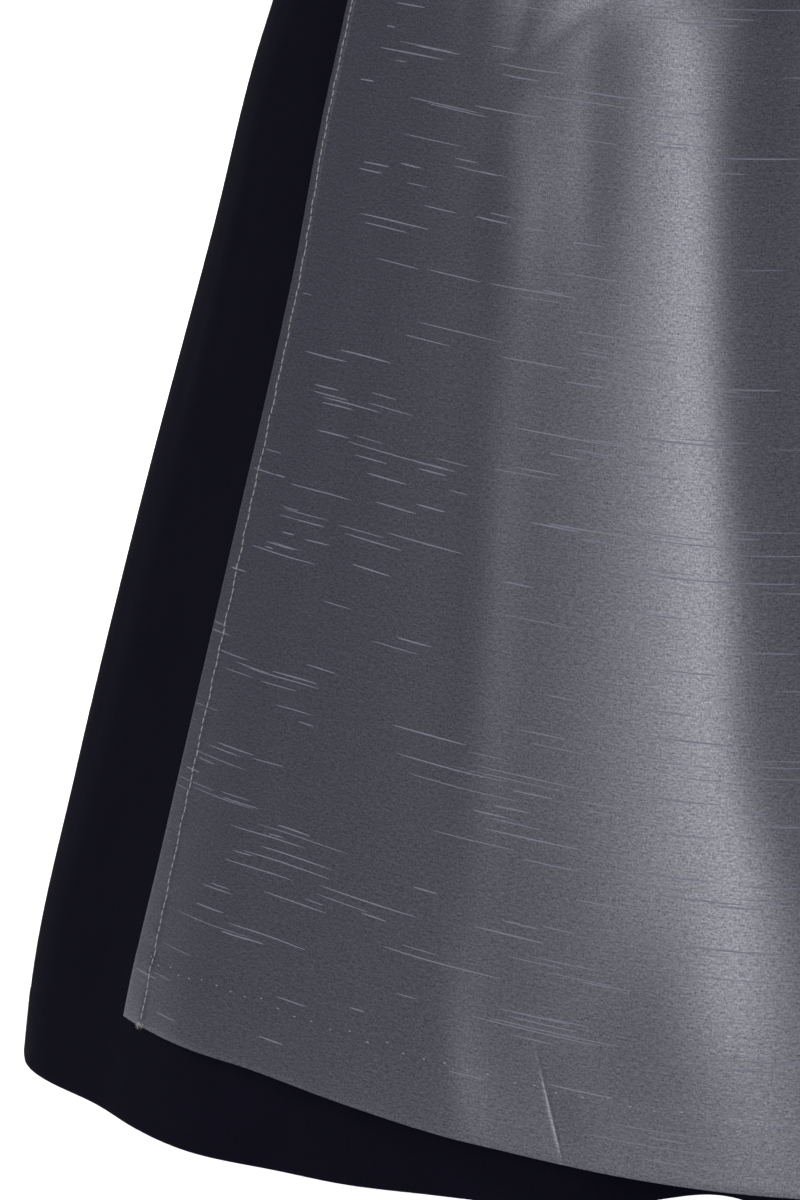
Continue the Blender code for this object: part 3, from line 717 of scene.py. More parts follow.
def follow(corners, facing, count):
    """Points at equal steps on the body, along the smooth curve through an edge's corners."""
    corners = np.array(corners)
    run = run_along(corners)
    places = np.linspace(0, run[-1], 300)
    across, height = (smooth(run, corners[:, column], places) for column in (0, 1))
    level = level_at(height)
    run = run_along(body(angle_of(across, level, facing), level))
    places = np.linspace(0, run[-1], count + 1)
    return np.stack([np.interp(places, run, across), np.interp(places, run, height)], -1)


def panel_edges(facing):
    """The two long edges of a panel beside the centre, from the waist to the shoulder."""
    near, neck, seam, armhole = PANEL_EDGES[facing]
    return [
        np.concatenate([follow(a, facing, SEAM_ROWS), follow(b, facing, STRAP_ROWS)[1:]])
        for a, b in ((near, neck), (seam, armhole))
    ]


def meet_waist(height, angle, up):
    """Heights with the lowest row moved onto the waist seam, fading up the panel."""
    return height + (waist_height(angle) + SEAM_GAP / 2 - height[0]) * (1 - up)


def across_panel(facing, share):
    """Angles and levels at shares of the way across a panel beside the centre, row by row."""
    near, far = (line[:, None] for line in panel_edges(facing))
    spot = near + (far - near) * share[..., None]
    across, height = spot[..., 0], spot[..., 1]
    up = np.clip(np.arange(len(spot)) / SEAM_ROWS, 0, 1)[:, None]
    height = meet_waist(height, angle_of(across, level_at(height), facing), up)
    level = level_at(height)
    # The last row stops short of the ridge of the shoulder by half a seam.
    level[-1] = len(BODY) - 1 - SEAM_GAP / 2 / (BODY[-2, 2] - BODY[-1, 2])
    return angle_of(across, level, facing), level


def side_panel(facing):
    """Angles and levels of a panel under the arm, from its long seam to the side seam."""
    seam = follow(PANEL_EDGES[facing][2], facing, SEAM_ROWS)
    seam_angle = angle_of(seam[:, 0] + SEAM_GAP / 2, level_at(seam[:, 1]), facing)
    turn = 1 if facing == "front" else -1
    side_angle = math.pi / 2 - turn * SEAM_GAP / 2 / BODY[:, 2].max()
    share = np.linspace(0, 1, SIDE_COLUMNS + 1)[None, :]
    angle = seam_angle[:, None] + (side_angle - seam_angle[:, None]) * share
    up = (seam[:, 1] - seam[0, 1]) / (seam[-1, 1] - seam[0, 1])
    top = ARMHOLE_Z + (seam[-1, 1] - ARMHOLE_Z) * (1 - share) ** ARMHOLE_CURVE
    foot = seam[0, 1]
    height = meet_waist(foot + (top - foot) * up[:, None], angle, up[:, None])
    return angle, level_at(height)


# ---------------------------------------------------------------- meshes
def new_piece(name, points, faces, spots, finish):
    """A mesh object at the origin from arrays of points, of faces with as many corners each, and
    of a flat place for each point, which is kept as the UV map in metres."""
    mesh = bpy.data.meshes.new(name)
    corners = faces.ravel()
    mesh.vertices.add(len(points))
    mesh.vertices.foreach_set("co", np.asarray(points, np.float32).ravel())
    mesh.loops.add(len(corners))
    mesh.loops.foreach_set("vertex_index", corners.astype(np.int32))
    mesh.polygons.add(len(faces))
    starts = np.arange(len(faces), dtype=np.int32) * faces.shape[1]
    mesh.polygons.foreach_set("loop_start", starts)
    mesh.update(calc_edges=True)
    flat = mesh.uv_layers.new(name="Cut")
    flat.data.foreach_set("uv", np.asarray(spots, np.float32)[corners].ravel())
    mesh.materials.append(finish)
    mesh.shade_smooth()
    mesh.set_sharp_from_angle(angle=SHARP_ANGLE)
    piece = bpy.data.objects.new(name, mesh)
    bpy.context.scene.collection.objects.link(piece)
    return piece


def shell_faces(rows, columns):
    """Quads of a closed shell between an inner and an outer grid of points, the outer one's
    facing the side where rows turn into columns."""
    inner = np.arange(rows * columns).reshape(rows, columns)
    outer = inner + rows * columns

    def quads(a, b, c, d):
        return np.stack([part.ravel() for part in (a, b, c, d)], -1)

    def skin(grid):
        return quads(grid[:-1, :-1], grid[1:, :-1], grid[1:, 1:], grid[:-1, 1:])

    return np.concatenate([
        skin(outer),
        skin(inner)[:, ::-1],
        quads(outer[0, :-1], outer[0, 1:], inner[0, 1:], inner[0, :-1]),
        quads(outer[-1, 1:], outer[-1, :-1], inner[-1, :-1], inner[-1, 1:]),
        quads(outer[1:, 0], outer[:-1, 0], inner[:-1, 0], inner[1:, 0]),
        quads(outer[:-1, -1], outer[1:, -1], inner[1:, -1], inner[:-1, -1]),
    ])


def facing_out(inner, outer, faces):
    """The faces, turned round if the outer grid's point inwards."""
    along, across = inner[1, 0] - inner[0, 0], inner[0, 1] - inner[0, 0]
    return faces if np.dot(np.cross(along, across), (outer - inner)[0, 0]) > 0 else faces[:, ::-1]


def new_shell(name, inner, outer, spots, finish):
    """A closed shell of cloth between two grids of points, with a flat place for each point."""
    faces = facing_out(inner, outer, shell_faces(*inner.shape[:2]))
    points = np.concatenate([inner.reshape(-1, 3), outer.reshape(-1, 3)])
    return new_piece(name, points, faces, np.tile(spots.reshape(-1, 2), (2, 1)), finish)


def cloth_between(form, first, second, low, high):
    """Two skins on a form, moved out along its normals."""
    base, normal = form(first, second), normals(form, first, second)
    return base + np.asarray(low)[..., None] * normal, base + np.asarray(high)[..., None] * normal


def measured(outer):
    """A flat place for each point of a grid: its distance along its row from the row's middle,
    and the rows' distance down the middle column."""
    steps = np.linalg.norm(np.diff(outer, axis=1), axis=-1)
    across = np.concatenate([np.zeros((len(outer), 1)), np.cumsum(steps, 1)], 1)
    across = across - across[:, -1:] / 2
    down = run_along(outer[:, outer.shape[1] // 2])[:, None]
    return np.stack(np.broadcast_arrays(across, down), -1)


def dress(piece, nodes):
    """The piece rides with the dress and stands for its solids."""
    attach(piece, "root")
    if nodes:
        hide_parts(*nodes)
    return piece


def ring_faces(count, stations, sides):
    """Quads of closed tubes, each of as many rings of points. An end is closed by quads across its
    last ring, which has an even number of points."""
    grid = np.arange(count * stations * sides).reshape(count, stations, sides)
    beside = np.roll(grid, -1, axis=2)
    walls = np.stack([grid[:, :-1], beside[:, :-1], beside[:, 1:], grid[:, 1:]], -1)
    near = np.arange(sides // 2 - 1)
    across = np.stack([near, near + 1, sides - 2 - near, sides - 1 - near], -1)
    first, last = grid[:, 0][:, across], grid[:, -1][:, across]
    return np.concatenate([part.reshape(-1, 4) for part in (walls, first[..., ::-1], last)])


def lenses(name, middles, along, out, lengths, widths, heights, finish, sides=6, stations=7):
    """Many small closed threads: each a tube along its direction, its radius the root of one
    less the square of the way from its middle, wide across and flat outwards."""
    t = np.linspace(-THREAD_TIP, THREAD_TIP, stations)
    lengths, widths, heights = (
        np.broadcast_to(size, len(middles)) for size in (lengths, widths, heights)
    )
    round_by = np.sqrt(1 - t**2)
    turn = np.arange(sides) / sides * 2 * math.pi
    across = np.cross(out, along)
    spine = middles[:, None] + along[:, None] * (t * lengths[:, None] / 2)[..., None]
    return tubes(name, spine, across, out, widths, heights, round_by, turn, finish)


def tubes(name, spine, across, out, widths, heights, round_by, turn, finish):
    """Closed tubes round rows of spine points. Across and out are directions for each tube or
    for each spine point; the ring at a point is an ellipse of width and height."""
    count, stations = spine.shape[:2]
    sides = len(turn)
    if across.ndim == 2:
        across, out = across[:, None], out[:, None]
    wide = (widths / 2)[:, None, None, None] * round_by[None, :, None, None]
    high = (heights / 2)[:, None, None, None] * round_by[None, :, None, None]
    ring = (
        across[:, :, None] * np.cos(turn)[None, None, :, None] * wide
        + out[:, :, None] * np.sin(turn)[None, None, :, None] * high
    )
    points = (spine[:, :, None] + ring).reshape(-1, 3)
    faces = ring_faces(count, stations, sides)
    return new_piece(name, points, faces, np.zeros((len(points), 2)), finish)


# ---------------------------------------------------------------- materials
def add_node(tree, kind, settings=None, **links):
    """A node with its settings, keyed by input name or attribute, and its inputs' links."""
    made = tree.nodes.new(kind)
    for key, value in (settings or {}).items():
        if isinstance(key, int) or key in made.inputs:
            made.inputs[key].default_value = value
        else:
            setattr(made, key, value)
    for key, source in links.items():
        wanted = int(key[1:]) if key[0] == "i" and key[1:].isdigit() else key.replace("_", " ")
        tree.links.new(source, made.inputs[wanted])
    return made


def new_material(name):
    """A material, its empty tree and the colours."""
    made = bpy.data.materials.new(name)
    made.use_nodes = True
    made.node_tree.nodes.clear()
    return made, made.node_tree, bpy.context.scene.dirndl_colours


def shaded(tree, colour, source, low, high, start=0.0, end=1.0):
    """The colour, scaled from low to high while the source goes from start to end."""
    shade = add_node(
        tree, "ShaderNodeMapRange",
        {"From Min": start, "From Max": end, "To Min": low, "To Max": high}, Value=source,
    )
    settings = {"operation": "SCALE", 0: tuple(colour)[:3]}
    return add_node(tree, "ShaderNodeVectorMath", settings, Scale=shade.outputs[0]).outputs[0]


def surfaced(made, settings, **links):
    """The material, with its output fed by a surface of these settings and links."""
    surface = add_node(made.node_tree, "ShaderNodeBsdfPrincipled", settings, **links)
    add_node(made.node_tree, "ShaderNodeOutputMaterial", Surface=surface.outputs[0])
    return made


def flat_place(tree, across, down):
    """The cloth's own flat place in metres, scaled across and down to one step per pattern."""
    spot = add_node(tree, "ShaderNodeUVMap", {"uv_map": "Cut"})
    scaled = add_node(
        tree, "ShaderNodeMapping", {"Scale": (1 / across, 1 / down, 1.0)}, Vector=spot.outputs[0]
    )
    return scaled.outputs[0]


def satin_cloth():
    """Shantung satin: a smooth warp-faced weave with a slubbed weft. It gives a cool grey with a
    broad soft gloss that runs down each fold, fine level dashes and paler thick threads."""
    made, tree, colours = new_material("slub_satin")
    # Weft dashes: a thread is about 0.3 mm, drawn 0.6 mm wide so that it shows, 3 mm long.
    dashes = add_node(
        tree, "ShaderNodeTexNoise", {"Scale": 1.0, "Detail": 2.0, "Roughness": 0.6},
        Vector=flat_place(tree, 0.003, 0.0006),
    )
    # Faint bars where a length of weft yarn took the dye differently: 22 mm by 1.2 mm.
    bars = add_node(
        tree, "ShaderNodeTexNoise", {"Scale": 1.0, "Detail": 2.0, "Roughness": 0.55},
        Vector=flat_place(tree, 0.022, 0.0012),
    )
    # The weave's mottle, about 1 mm.
    mottle = add_node(
        tree, "ShaderNodeTexNoise", {"Scale": 1.0, "Detail": 3.0, "Roughness": 0.7},
        Vector=flat_place(tree, 0.0009, 0.0009),
    )
    # Dashes, bars and mottle are added up, each with its own weight.
    fine = add_node(
        tree, "ShaderNodeMath", {"operation": "MULTIPLY_ADD", 1: 0.42, 2: 0.0},
        i0=dashes.outputs["Fac"],
    )
    fine = add_node(
        tree, "ShaderNodeMath", {"operation": "MULTIPLY_ADD", 1: 0.12},
        i0=bars.outputs["Fac"], i2=fine.outputs[0],
    )
    fine = add_node(
        tree, "ShaderNodeMath", {"operation": "MULTIPLY_ADD", 1: 0.76},
        i0=mottle.outputs["Fac"], i2=fine.outputs[0],
    ).outputs[0]
    colour = shaded(tree, colours.satin, fine, 0.42, 1.60, 0.45, 0.85)
    rough = add_node(
        tree, "ShaderNodeMapRange",
        {"From Min": 0.45, "From Max": 0.85, "To Min": 0.43, "To Max": 0.37}, Value=fine,
    )
    relief = add_node(tree, "ShaderNodeBump", {"Strength": 0.25, "Distance": 0.00025}, Height=fine)
    thread_way = add_node(tree, "ShaderNodeTangent", {"direction_type": "UV_MAP", "uv_map": "Cut"})
    return surfaced(
        made,
        {"Metallic": 0.85, "IOR": 1.54, "Anisotropic": 0.35, "Anisotropic Rotation": 0.25},
        Base_Color=colour, Roughness=rough.outputs[0], Normal=relief.outputs[0],
        Tangent=thread_way.outputs[0],
    )


def navy_cloth():
    """Worsted plain weave in a near-black navy: matt, with a fine even mottle."""
    made, tree, colours = new_material("plain_worsted")
    # The weave has about 18 threads per cm; its mottle is drawn at 1.1 mm so that it shows.
    weave = add_node(
        tree, "ShaderNodeTexNoise", {"Scale": 1.0, "Detail": 3.0, "Roughness": 0.75},
        Vector=flat_place(tree, 0.0011, 0.0011),
    )
    # A slow unevenness of the dye, 30 mm by 45 mm.
    cloud = add_node(
        tree, "ShaderNodeTexNoise", {"Scale": 1.0, "Detail": 2.0, "Roughness": 0.5},
        Vector=flat_place(tree, 0.030, 0.045),
    )
    both = add_node(
        tree, "ShaderNodeMath", {"operation": "MULTIPLY_ADD", 1: 0.4},
        i0=cloud.outputs["Fac"], i2=weave.outputs["Fac"],
    )
    relief = add_node(
        tree, "ShaderNodeBump", {"Strength": 0.3, "Distance": 0.0003}, Height=weave.outputs["Fac"]
    )
    return surfaced(
        made, {"Roughness": 0.92, "IOR": 1.45, "Specular IOR Level": 0.1},
        Base_Color=shaded(tree, colours.navy, both.outputs[0], 0.78, 1.22, 0.45, 0.95),
        Normal=relief.outputs[0],
    )


def sewing_thread(name, colour, roughness):
    """Spun polyester sewing thread: matt, with a little variation along it."""
    made, tree, _ = new_material(name)
    spot = add_node(tree, "ShaderNodeTexCoord")
    twist = add_node(
        tree, "ShaderNodeTexNoise", {"Scale": 900.0, "Detail": 1.0}, Vector=spot.outputs["Object"]
    )
    return surfaced(
        made, {"Roughness": roughness, "IOR": 1.5},
        Base_Color=shaded(tree, colour, twist.outputs["Fac"], 0.85, 1.12),
    )


def cast_pewter():
    """Cast pewter, tumbled and darkened: dull bright crowns and darker hollows."""
    made, tree, colours = new_material("cast_pewter")
    spot = add_node(tree, "ShaderNodeTexCoord")
    stain = add_node(
        tree, "ShaderNodeTexNoise", {"Scale": 420.0, "Detail": 4.0, "Roughness": 0.6},
        Vector=spot.outputs["Object"],
    )
    edge = add_node(tree, "ShaderNodeNewGeometry")
    worn = add_node(
        tree, "ShaderNodeMapRange",
        {"From Min": 0.47, "From Max": 0.53, "To Min": 0.35, "To Max": 1.0},
        Value=edge.outputs["Pointiness"],
    )
    shade = add_node(
        tree, "ShaderNodeMath", {"operation": "MULTIPLY_ADD", 1: 0.35, 2: 0.75},
        i0=stain.outputs["Fac"],
    )
    shade = add_node(
        tree, "ShaderNodeMath", {"operation": "MULTIPLY"},
        i0=shade.outputs[0], i1=worn.outputs[0],
    )
    colour = add_node(
        tree, "ShaderNodeVectorMath", {"operation": "SCALE", 0: tuple(colours.pewter)[:3]},
        Scale=shade.outputs[0],
    )
    rough = add_node(
        tree, "ShaderNodeMapRange", {"To Min": 0.30, "To Max": 0.48}, Value=stain.outputs["Fac"]
    )
    return surfaced(
        made, {"Metallic": 1.0}, Base_Color=colour.outputs[0], Roughness=rough.outputs[0]
    )


def floor_paint():
    """Matt studio floor paint: pale, with a faint unevenness."""
    made, tree, colours = new_material("studio_floor")
    spot = add_node(tree, "ShaderNodeTexCoord")
    cloud = add_node(
        tree, "ShaderNodeTexNoise", {"Scale": 2.0, "Detail": 2.0}, Vector=spot.outputs["Object"]
    )
    return surfaced(
        made, {"Roughness": 0.9, "Specular IOR Level": 0.2},
        Base_Color=shaded(tree, colours.floor, cloud.outputs["Fac"], 0.985, 1.0),
    )


def finish(name):
    """The named finish, made once."""
    colours = bpy.context.scene.dirndl_colours
    makers = {
        "slub_satin": satin_cloth,
        "plain_worsted": navy_cloth,
        "slub_thread": lambda: sewing_thread("slub_thread", colours.slub, 0.5),
        "pale_thread": lambda: sewing_thread("pale_thread", linear("dcdad6"), 0.6),
        "grey_thread": lambda: sewing_thread("grey_thread", linear("a4a4aa"), 0.6),
        "navy_thread": lambda: sewing_thread("navy_thread", linear("343042"), 0.7),
        "cast_pewter": cast_pewter,
        "studio_floor": floor_paint,
    }
    return bpy.data.materials.get(name) or makers[name]()


# ---------------------------------------------------------------- operators
def cloth_rows(counts, hem):
    """Rows from 0 to 1: close in the gathers, wider below them, and close again in the hem."""
    ends = (0.0, GATHERED_PART, hem, 1.0)
    parts = [np.linspace(ends[k], ends[k + 1], counts[k], endpoint=k == 2) for k in range(3)]
    return np.concatenate(parts)[:, None]


class DIRNDL_OT_skirt(bpy.types.Operator):
    """Make the gathered skirt in its front and back panels"""

    bl_idname = "dirndl.skirt"
    bl_label = "Skirt"

    def execute(self, context):
        sizes = context.scene.dirndl_sizes
        length = WAIST_Z - HEM_Z
        turn_up = 1 - sizes.hem_turn / length
        fall = cloth_rows(SKIRT_ROWS, turn_up - 0.01)
        # The panels end a fixed angle apart: 0.3 mm at the waist and about 0.8 mm at the hem.
        half = math.pi / 2 - SEAM_GAP / 2 / SKIRT[:, 2].min()
        # A few closer columns lie beside each side seam.
        beside = np.linspace(0, 0.012, 5, endpoint=False)
        share = np.linspace(0.012, 0.988, SKIRT_COLUMNS)
        share = np.concatenate([beside, share, 1 - beside[::-1]])
        for facing, middle in (("front", 0.0), ("back", math.pi)):
            angle = (middle + half * (2 * share - 1))[None, :]
            # The outer face sinks to the side seams, rises at the turned hem and rolls in at its edge.
            from_seam = SKIRT_SPREAD * np.minimum(share, 1 - share)[None, :]
            seam = SKIRT_SEAM_DEPTH * bell(from_seam, SKIRT_SEAM_WIDTH)
            hem = SKIRT_HEM_STEP * ease(turn_up - 0.003, turn_up + 0.001, fall)
            roll = SKIRT_HEM_ROLL * ease(0.996, 1.0, fall)
            high = DRESS_WALL + hem - seam - roll
            inner, outer = cloth_between(skirt, fall, angle, high - CLOTH + roll, high)
            # The seam's edge is level, so that the bodice fits on it.
            outer[0, :, 2] = inner[0, :, 2]
            across = SKIRT_WEAVE * (share - 0.5)[None, :]
            spots = np.stack(np.broadcast_arrays(across, fall * length), -1)
            piece = new_shell(f"skirt_cloth_{facing}", inner, outer, spots, finish("plain_worsted"))
            dress(piece, [f"skirt_{facing}"])
        return {"FINISHED"}


def side_reach(share):
    """Metres for each radian round the apron near its sides."""
    return np.interp(share, (0.0, 0.3, 1.0), (0.17, 0.28, 0.36))


def hem_width(share):
    """The width of a side hem as it shows."""
    return bpy.context.scene.dirndl_sizes.side_hem * np.interp(share, HEM_SHOWN[:, 0], HEM_SHOWN[:, 1])


def apron_spot(share, angle):
    """The flat place of a point of the apron in its cut."""
    across = angle / APRON_EDGE / 2 * APRON_CUT[0]
    return np.stack(np.broadcast_arrays(across, share * APRON_CUT[1]), -1)


def apron_out(share, angle):
    """How far the apron's outer face stands off its inside: the cloth, a step up at the turned side
    hems and hem, a furrow along each line of stitches with wavering rucks, and a rolled edge."""
    sizes = bpy.context.scene.dirndl_sizes
    from_side = (APRON_EDGE - np.abs(angle)) * side_reach(share)
    from_hem = (1 - share) * APRON_CUT[1]
    past_hem = from_side - hem_width(share)
    side = SIDE_HEM_STEP * (1 - ease(-0.0006, 0.0010, past_hem))
    hem = APRON_HEM_STEP * (1 - ease(sizes.hem_turn - 0.0030, sizes.hem_turn + 0.0030, from_hem))
    furrow = STITCH_FURROW * bell(past_hem + STITCH_INSET, STITCH_FURROW_WIDTH)
    ruck = STITCH_RUCK * bell(past_hem + STITCH_INSET, STITCH_RUCK_WIDTH)
    ruck = ruck * np.sin(share * 230 + 1.5 * np.sin(share * 61))
    edge = APRON_ROLL * (1 - ease(0.0, APRON_ROLL_WIDTH, np.minimum(from_side, from_hem)))
    return APRON_FACE + side + hem - furrow - edge + ruck


class DIRNDL_OT_apron(bpy.types.Operator):
    """Make the apron's satin panel with its turned hems"""

    bl_idname = "dirndl.apron"
    bl_label = "Apron"

    def execute(self, context):
        share = cloth_rows(APRON_ROWS, 0.935)
        # The outer columns follow the side hems, and close ones follow the crease at the hem.
        beside = np.array((0, 0.06, 0.2, 0.4, 0.6, 0.75, 0.83, 0.88, 0.93, 0.98, 1.05, 1.15, 1.3))
        beside = APRON_EDGE - beside * hem_width(share) / side_reach(share)
        degrees, middle, lean = HEM_CREASE
        limit = beside[:, -1:] - 0.006
        at = 0.5 + math.radians(degrees) / limit[-1, 0] / 2
        close = np.array((0.0009, 0.0018, 0.0030, 0.0050, 0.0075, 0.011, 0.015))
        inner = np.concatenate([
            np.linspace(0, at - 0.018, 72), at - close[::-1], (at,), at + close,
            np.linspace(at + 0.018, 1, 150),
        ])
        low = np.clip(share, 0.915, 1.0)
        run = math.tan(math.radians(lean)) * (low - middle) * (WAIST_Z - HEM_Z) / crease_reach(low)
        crease = (math.radians(degrees) + run) / (1 - APRON_DRAW * np.sin(low * math.pi))
        inner = limit * (2 * inner - 1) + (crease - limit * (2 * at - 1)) * bell(inner - at, 0.03)
        angle = np.concatenate([-beside, inner, beside[:, ::-1]], 1)
        high = apron_out(share, angle)
        inner, outer = cloth_between(apron, share, angle, np.maximum(high - CLOTH - 0.0002, 0), high)
        spots = apron_spot(share, angle)
        piece = new_shell("apron_cloth", inner, outer, spots, finish("slub_satin"))
        dress(piece, ["apron_panel"])
        return {"FINISHED"}


class DIRNDL_OT_waistband(bpy.types.Operator):
    """Make the apron's waistband and the two ties that run on from it to the back"""

    bl_idname = "dirndl.waistband"
    bl_label = "Waistband and ties"

    def execute(self, context):
        share = np.linspace(0, 1, 25)[:, None]
        angle = np.linspace(-APRON_EDGE, APRON_EDGE, 181)[None, :]
        rolled = bell(share, BAND_ROLL_SHARE) + bell(1 - share, BAND_ROLL_SHARE)
        # The gathers under the band pucker its lower half.
        pucker = BAND_PUCKER * np.sin(angle * 70 + 2 * np.sin(angle * 9)) * ease(0.45, 1.0, share)
        high = BAND_WALL - BAND_ROLL * rolled + pucker * (1 - bell(1 - share, 0.06))
        inner, outer = cloth_between(band, share, angle, 0 * high, high)
        piece = new_shell("waistband_cloth", inner, outer, measured(outer), finish("slub_satin"))
        dress(piece, ["apron_waistband"])
        start = APRON_EDGE + SEAM_GAP / BODY[1, 2]
        narrow = TIE_INSET + (1 - 2 * TIE_INSET) * share
        for side, turn in (("left", 1), ("right", -1)):
            angle = turn * np.linspace(start, math.pi - knot_angle(), 130)[None, :]
            ripple = TIE_RIPPLE * np.sin(share * 19 + angle * 3)
            high = APRON_WALL - 0.0001 - TIE_ROLL * rolled + ripple
            inner, outer = cloth_between(band, narrow, angle, 0 * high, high)
            piece = new_shell(f"tie_cloth_{side}", inner, outer, measured(outer), finish("slub_satin"))
            dress(piece, [f"apron_tie_{side}"])
        return {"FINISHED"}


class DIRNDL_OT_bow(bpy.types.Operator):
    """Make the bow at the back: its knot, two loops and two tails"""

    bl_idname = "dirndl.bow"
    bl_label = "Bow"

    def execute(self, context):
        satin = finish("slub_satin")
        # The knot is a rounded block: each direction's cosine and sine raised to a power.
        rise = (math.pi / 2 - KNOT_TIP) * np.linspace(-1, 1, KNOT_RINGS)[:, None]
        turn = np.arange(KNOT_SIDES)[None, :] / KNOT_SIDES * 2 * math.pi
        level, upright = KNOT_POWERS

        def powered(value, power):
            return np.sign(value) * np.abs(value) ** power

        wrap = 1 + 0.035 * np.sin(7 * rise + 1.2 * np.sin(turn)) * np.cos(turn / 2) ** 2
        ring = powered(np.cos(rise), upright) * wrap
        size = np.array(KNOT_SIZE) / 2
        points = knot_centre() + place(
            size[0] * ring * powered(np.cos(turn), level),
            size[1] * ring * powered(np.sin(turn), level),
            size[2] * powered(np.sin(rise), upright),
        ) * KNOT_INSET
        spots = np.stack(np.broadcast_arrays(turn * size[0], rise * size[2]), -1)
        knot = new_piece(
            "knot_cloth", points.reshape(-1, 3), ring_faces(1, *points.shape[:2]),
            spots.reshape(-1, 2), satin,
        )
        dress(knot, ["bow_knot"])
        across = np.linspace(-1, 1, 33)[:, None]
        along = np.linspace(0, 1, 121)[None, :]
        share = np.linspace(0, 1, 160)[:, None]
        for side, turn in (("left", 1), ("right", -1)):
            inner, outer = cloth_between(loop_form(turn), across, along, *BOW_FACES)
            loop = new_shell(f"bow_loop_cloth_{side}", inner, outer, measured(outer), satin)
            dress(loop, [f"bow_loop_{side}"])
            inner, outer = cloth_between(tail_form(turn), share, across.T, *BOW_FACES)
            tail = new_shell(f"bow_tail_cloth_{side}", inner, outer, measured(outer), satin)
            dress(tail, [f"bow_tail_{side}"])
        return {"FINISHED"}


class DIRNDL_OT_bodice(bpy.types.Operator):
    """Make the eight panels of the bodice"""

    bl_idname = "dirndl.bodice"
    bl_label = "Bodice"

    def execute(self, context):
        for facing in ("front", "back"):
            near, far = panel_edges(facing)
            seam = SEAM_GAP / 2 / (far[:, :1] - near[:, :1])
            share = seam + (1 - 2 * seam) * np.linspace(0, 1, PANEL_COLUMNS + 1)
            panels = (("", *across_panel(facing, share)), ("side_", *side_panel(facing)))
            for kind, angle, level in panels:
                for side, turn in (("left", 1), ("right", -1)):
                    self.add_panel(f"{kind}{facing}_{side}", turn * angle, level)
        return {"FINISHED"}

    def add_panel(self, which, angle, level):
        """A panel whose outer face sinks into the seams and rounds over at its edges."""
        base = body(angle, level)
        spots = measured(base)
        across = spots[..., 0]
        from_edge = np.abs(across[:, -1:]) - np.abs(across)
        low = np.linspace(0, 1, len(base))[:, None]
        down = run_along(base[:, base.shape[1] // 2])[:, None]
        from_end = np.minimum(down, down[-1] - down)
        round_off = PANEL_SEAM_DEPTH * bell(from_edge, PANEL_EDGE_WIDTH)
        round_off = round_off + PANEL_END_DEPTH * bell(from_end, PANEL_EDGE_WIDTH)
        puff = PANEL_PUFF * ease(0.002, 0.012, from_edge) * np.sin(down * 95 + low * 3)
        high = DRESS_WALL - round_off + puff
        inner, outer = cloth_between(body, angle, level, high - CLOTH, high)
        piece = new_shell(f"bodice_cloth_{which}", inner, outer, spots, finish("plain_worsted"))
        dress(piece, [f"bodice_{which}"])
        tall = float(down[-1, 0])
        widths = np.abs(across[:, -1] - across[:, 0])
        wide = float(widths.max())
        area = float(np.sum((widths[1:] + widths[:-1]) / 2 * np.diff(down[:, 0])))
        area = min(max(area, 0.31 * wide * tall), wide * tall)


class DIRNDL_OT_placket(bpy.types.Operator):
    """Make the button band on the centre front"""

    bl_idname = "dirndl.placket"
    bl_label = "Button band"

    def execute(self, context):
        reach = PLACKET_HALF / panel_edges("front")[1][:, :1]
        angle, level = across_panel("front", reach * np.linspace(0, 1, 13))
        angle = np.concatenate([-angle[:, :0:-1], angle], 1)[: SEAM_ROWS + 1]
        level = np.concatenate([level[:, :0:-1], level], 1)[: SEAM_ROWS + 1]
        low = DRESS_WALL + LAY_GAP / 2
        share = np.linspace(-1, 1, angle.shape[1])[None, :]
        # Its edges roll in, and a furrow runs along each line of stitches.
        edge = PLACKET_ROLL * ease(0.86, 1.0, np.abs(share))
        edge = edge + PLACKET_FURROW * bell(np.abs(share) - PLACKET_SEWN, 0.06)
        inner, outer = cloth_between(body, angle, level, low, low + PLACKET_WALL - edge)
        piece = new_shell("placket_cloth", inner, outer, measured(outer), finish("plain_worsted"))
        dress(piece, ["front_placket"])
        return {"FINISHED"}


class DIRNDL_OT_buttons(bpy.types.Operator):
    """Make the five domed buttons, each turned from one profile"""

    bl_idname = "dirndl.buttons"
    bl_label = "Buttons"

    def execute(self, context):
        run = run_along(BUTTON_PROFILE)
        places = np.linspace(0, run[-1], BUTTON_RINGS)
        radius, height = (np.interp(places, run, BUTTON_PROFILE[:, k]) for k in (0, 1))
        turn = np.arange(BUTTON_SIDES) / BUTTON_SIDES * 2 * math.pi
        for number in range(BUTTON_COUNT):
            level = level_at(BUTTON_TOP_Z - number * BUTTON_PITCH)
            spot = body(np.array(0.0), level)
            out = normals(body, np.array(0.0), level)
            aside = np.array((1.0, 0.0, 0.0))
            up = np.cross(out, aside)
            root = spot + out * (DRESS_WALL + PLACKET_WALL + LAY_GAP * 1.3)
            # Shallow flutes between the rim and the crown.
            flutes = 0.00014 * bell(radius - 0.0044, 0.0011)[:, None] * np.cos(BUTTON_FLUTES * turn)
            ring = aside * np.cos(turn)[:, None] + up * np.sin(turn)[:, None]
            points = root + radius[:, None, None] * ring + (height[:, None] + flutes)[..., None] * out
            faces = ring_faces(1, *points.shape[:2])
            points = points.reshape(-1, 3)
            piece = new_piece(
                f"button_metal_{number + 1}", points, faces, np.zeros((len(points), 2)),
                finish("cast_pewter"),
            )
            dress(piece, [f"button_{number + 1}"])
        return {"FINISHED"}


def along_form(form, first, second, towards):
    """Points on a form, unit directions along a line on it, and unit normals."""
    base, out = form(first, second), normals(form, first, second)
    ahead = form(first + towards[0], second + towards[1]) - base
    ahead = ahead - out * np.sum(ahead * out, -1, keepdims=True)
    return base, ahead / np.linalg.norm(ahead, axis=-1, keepdims=True), out


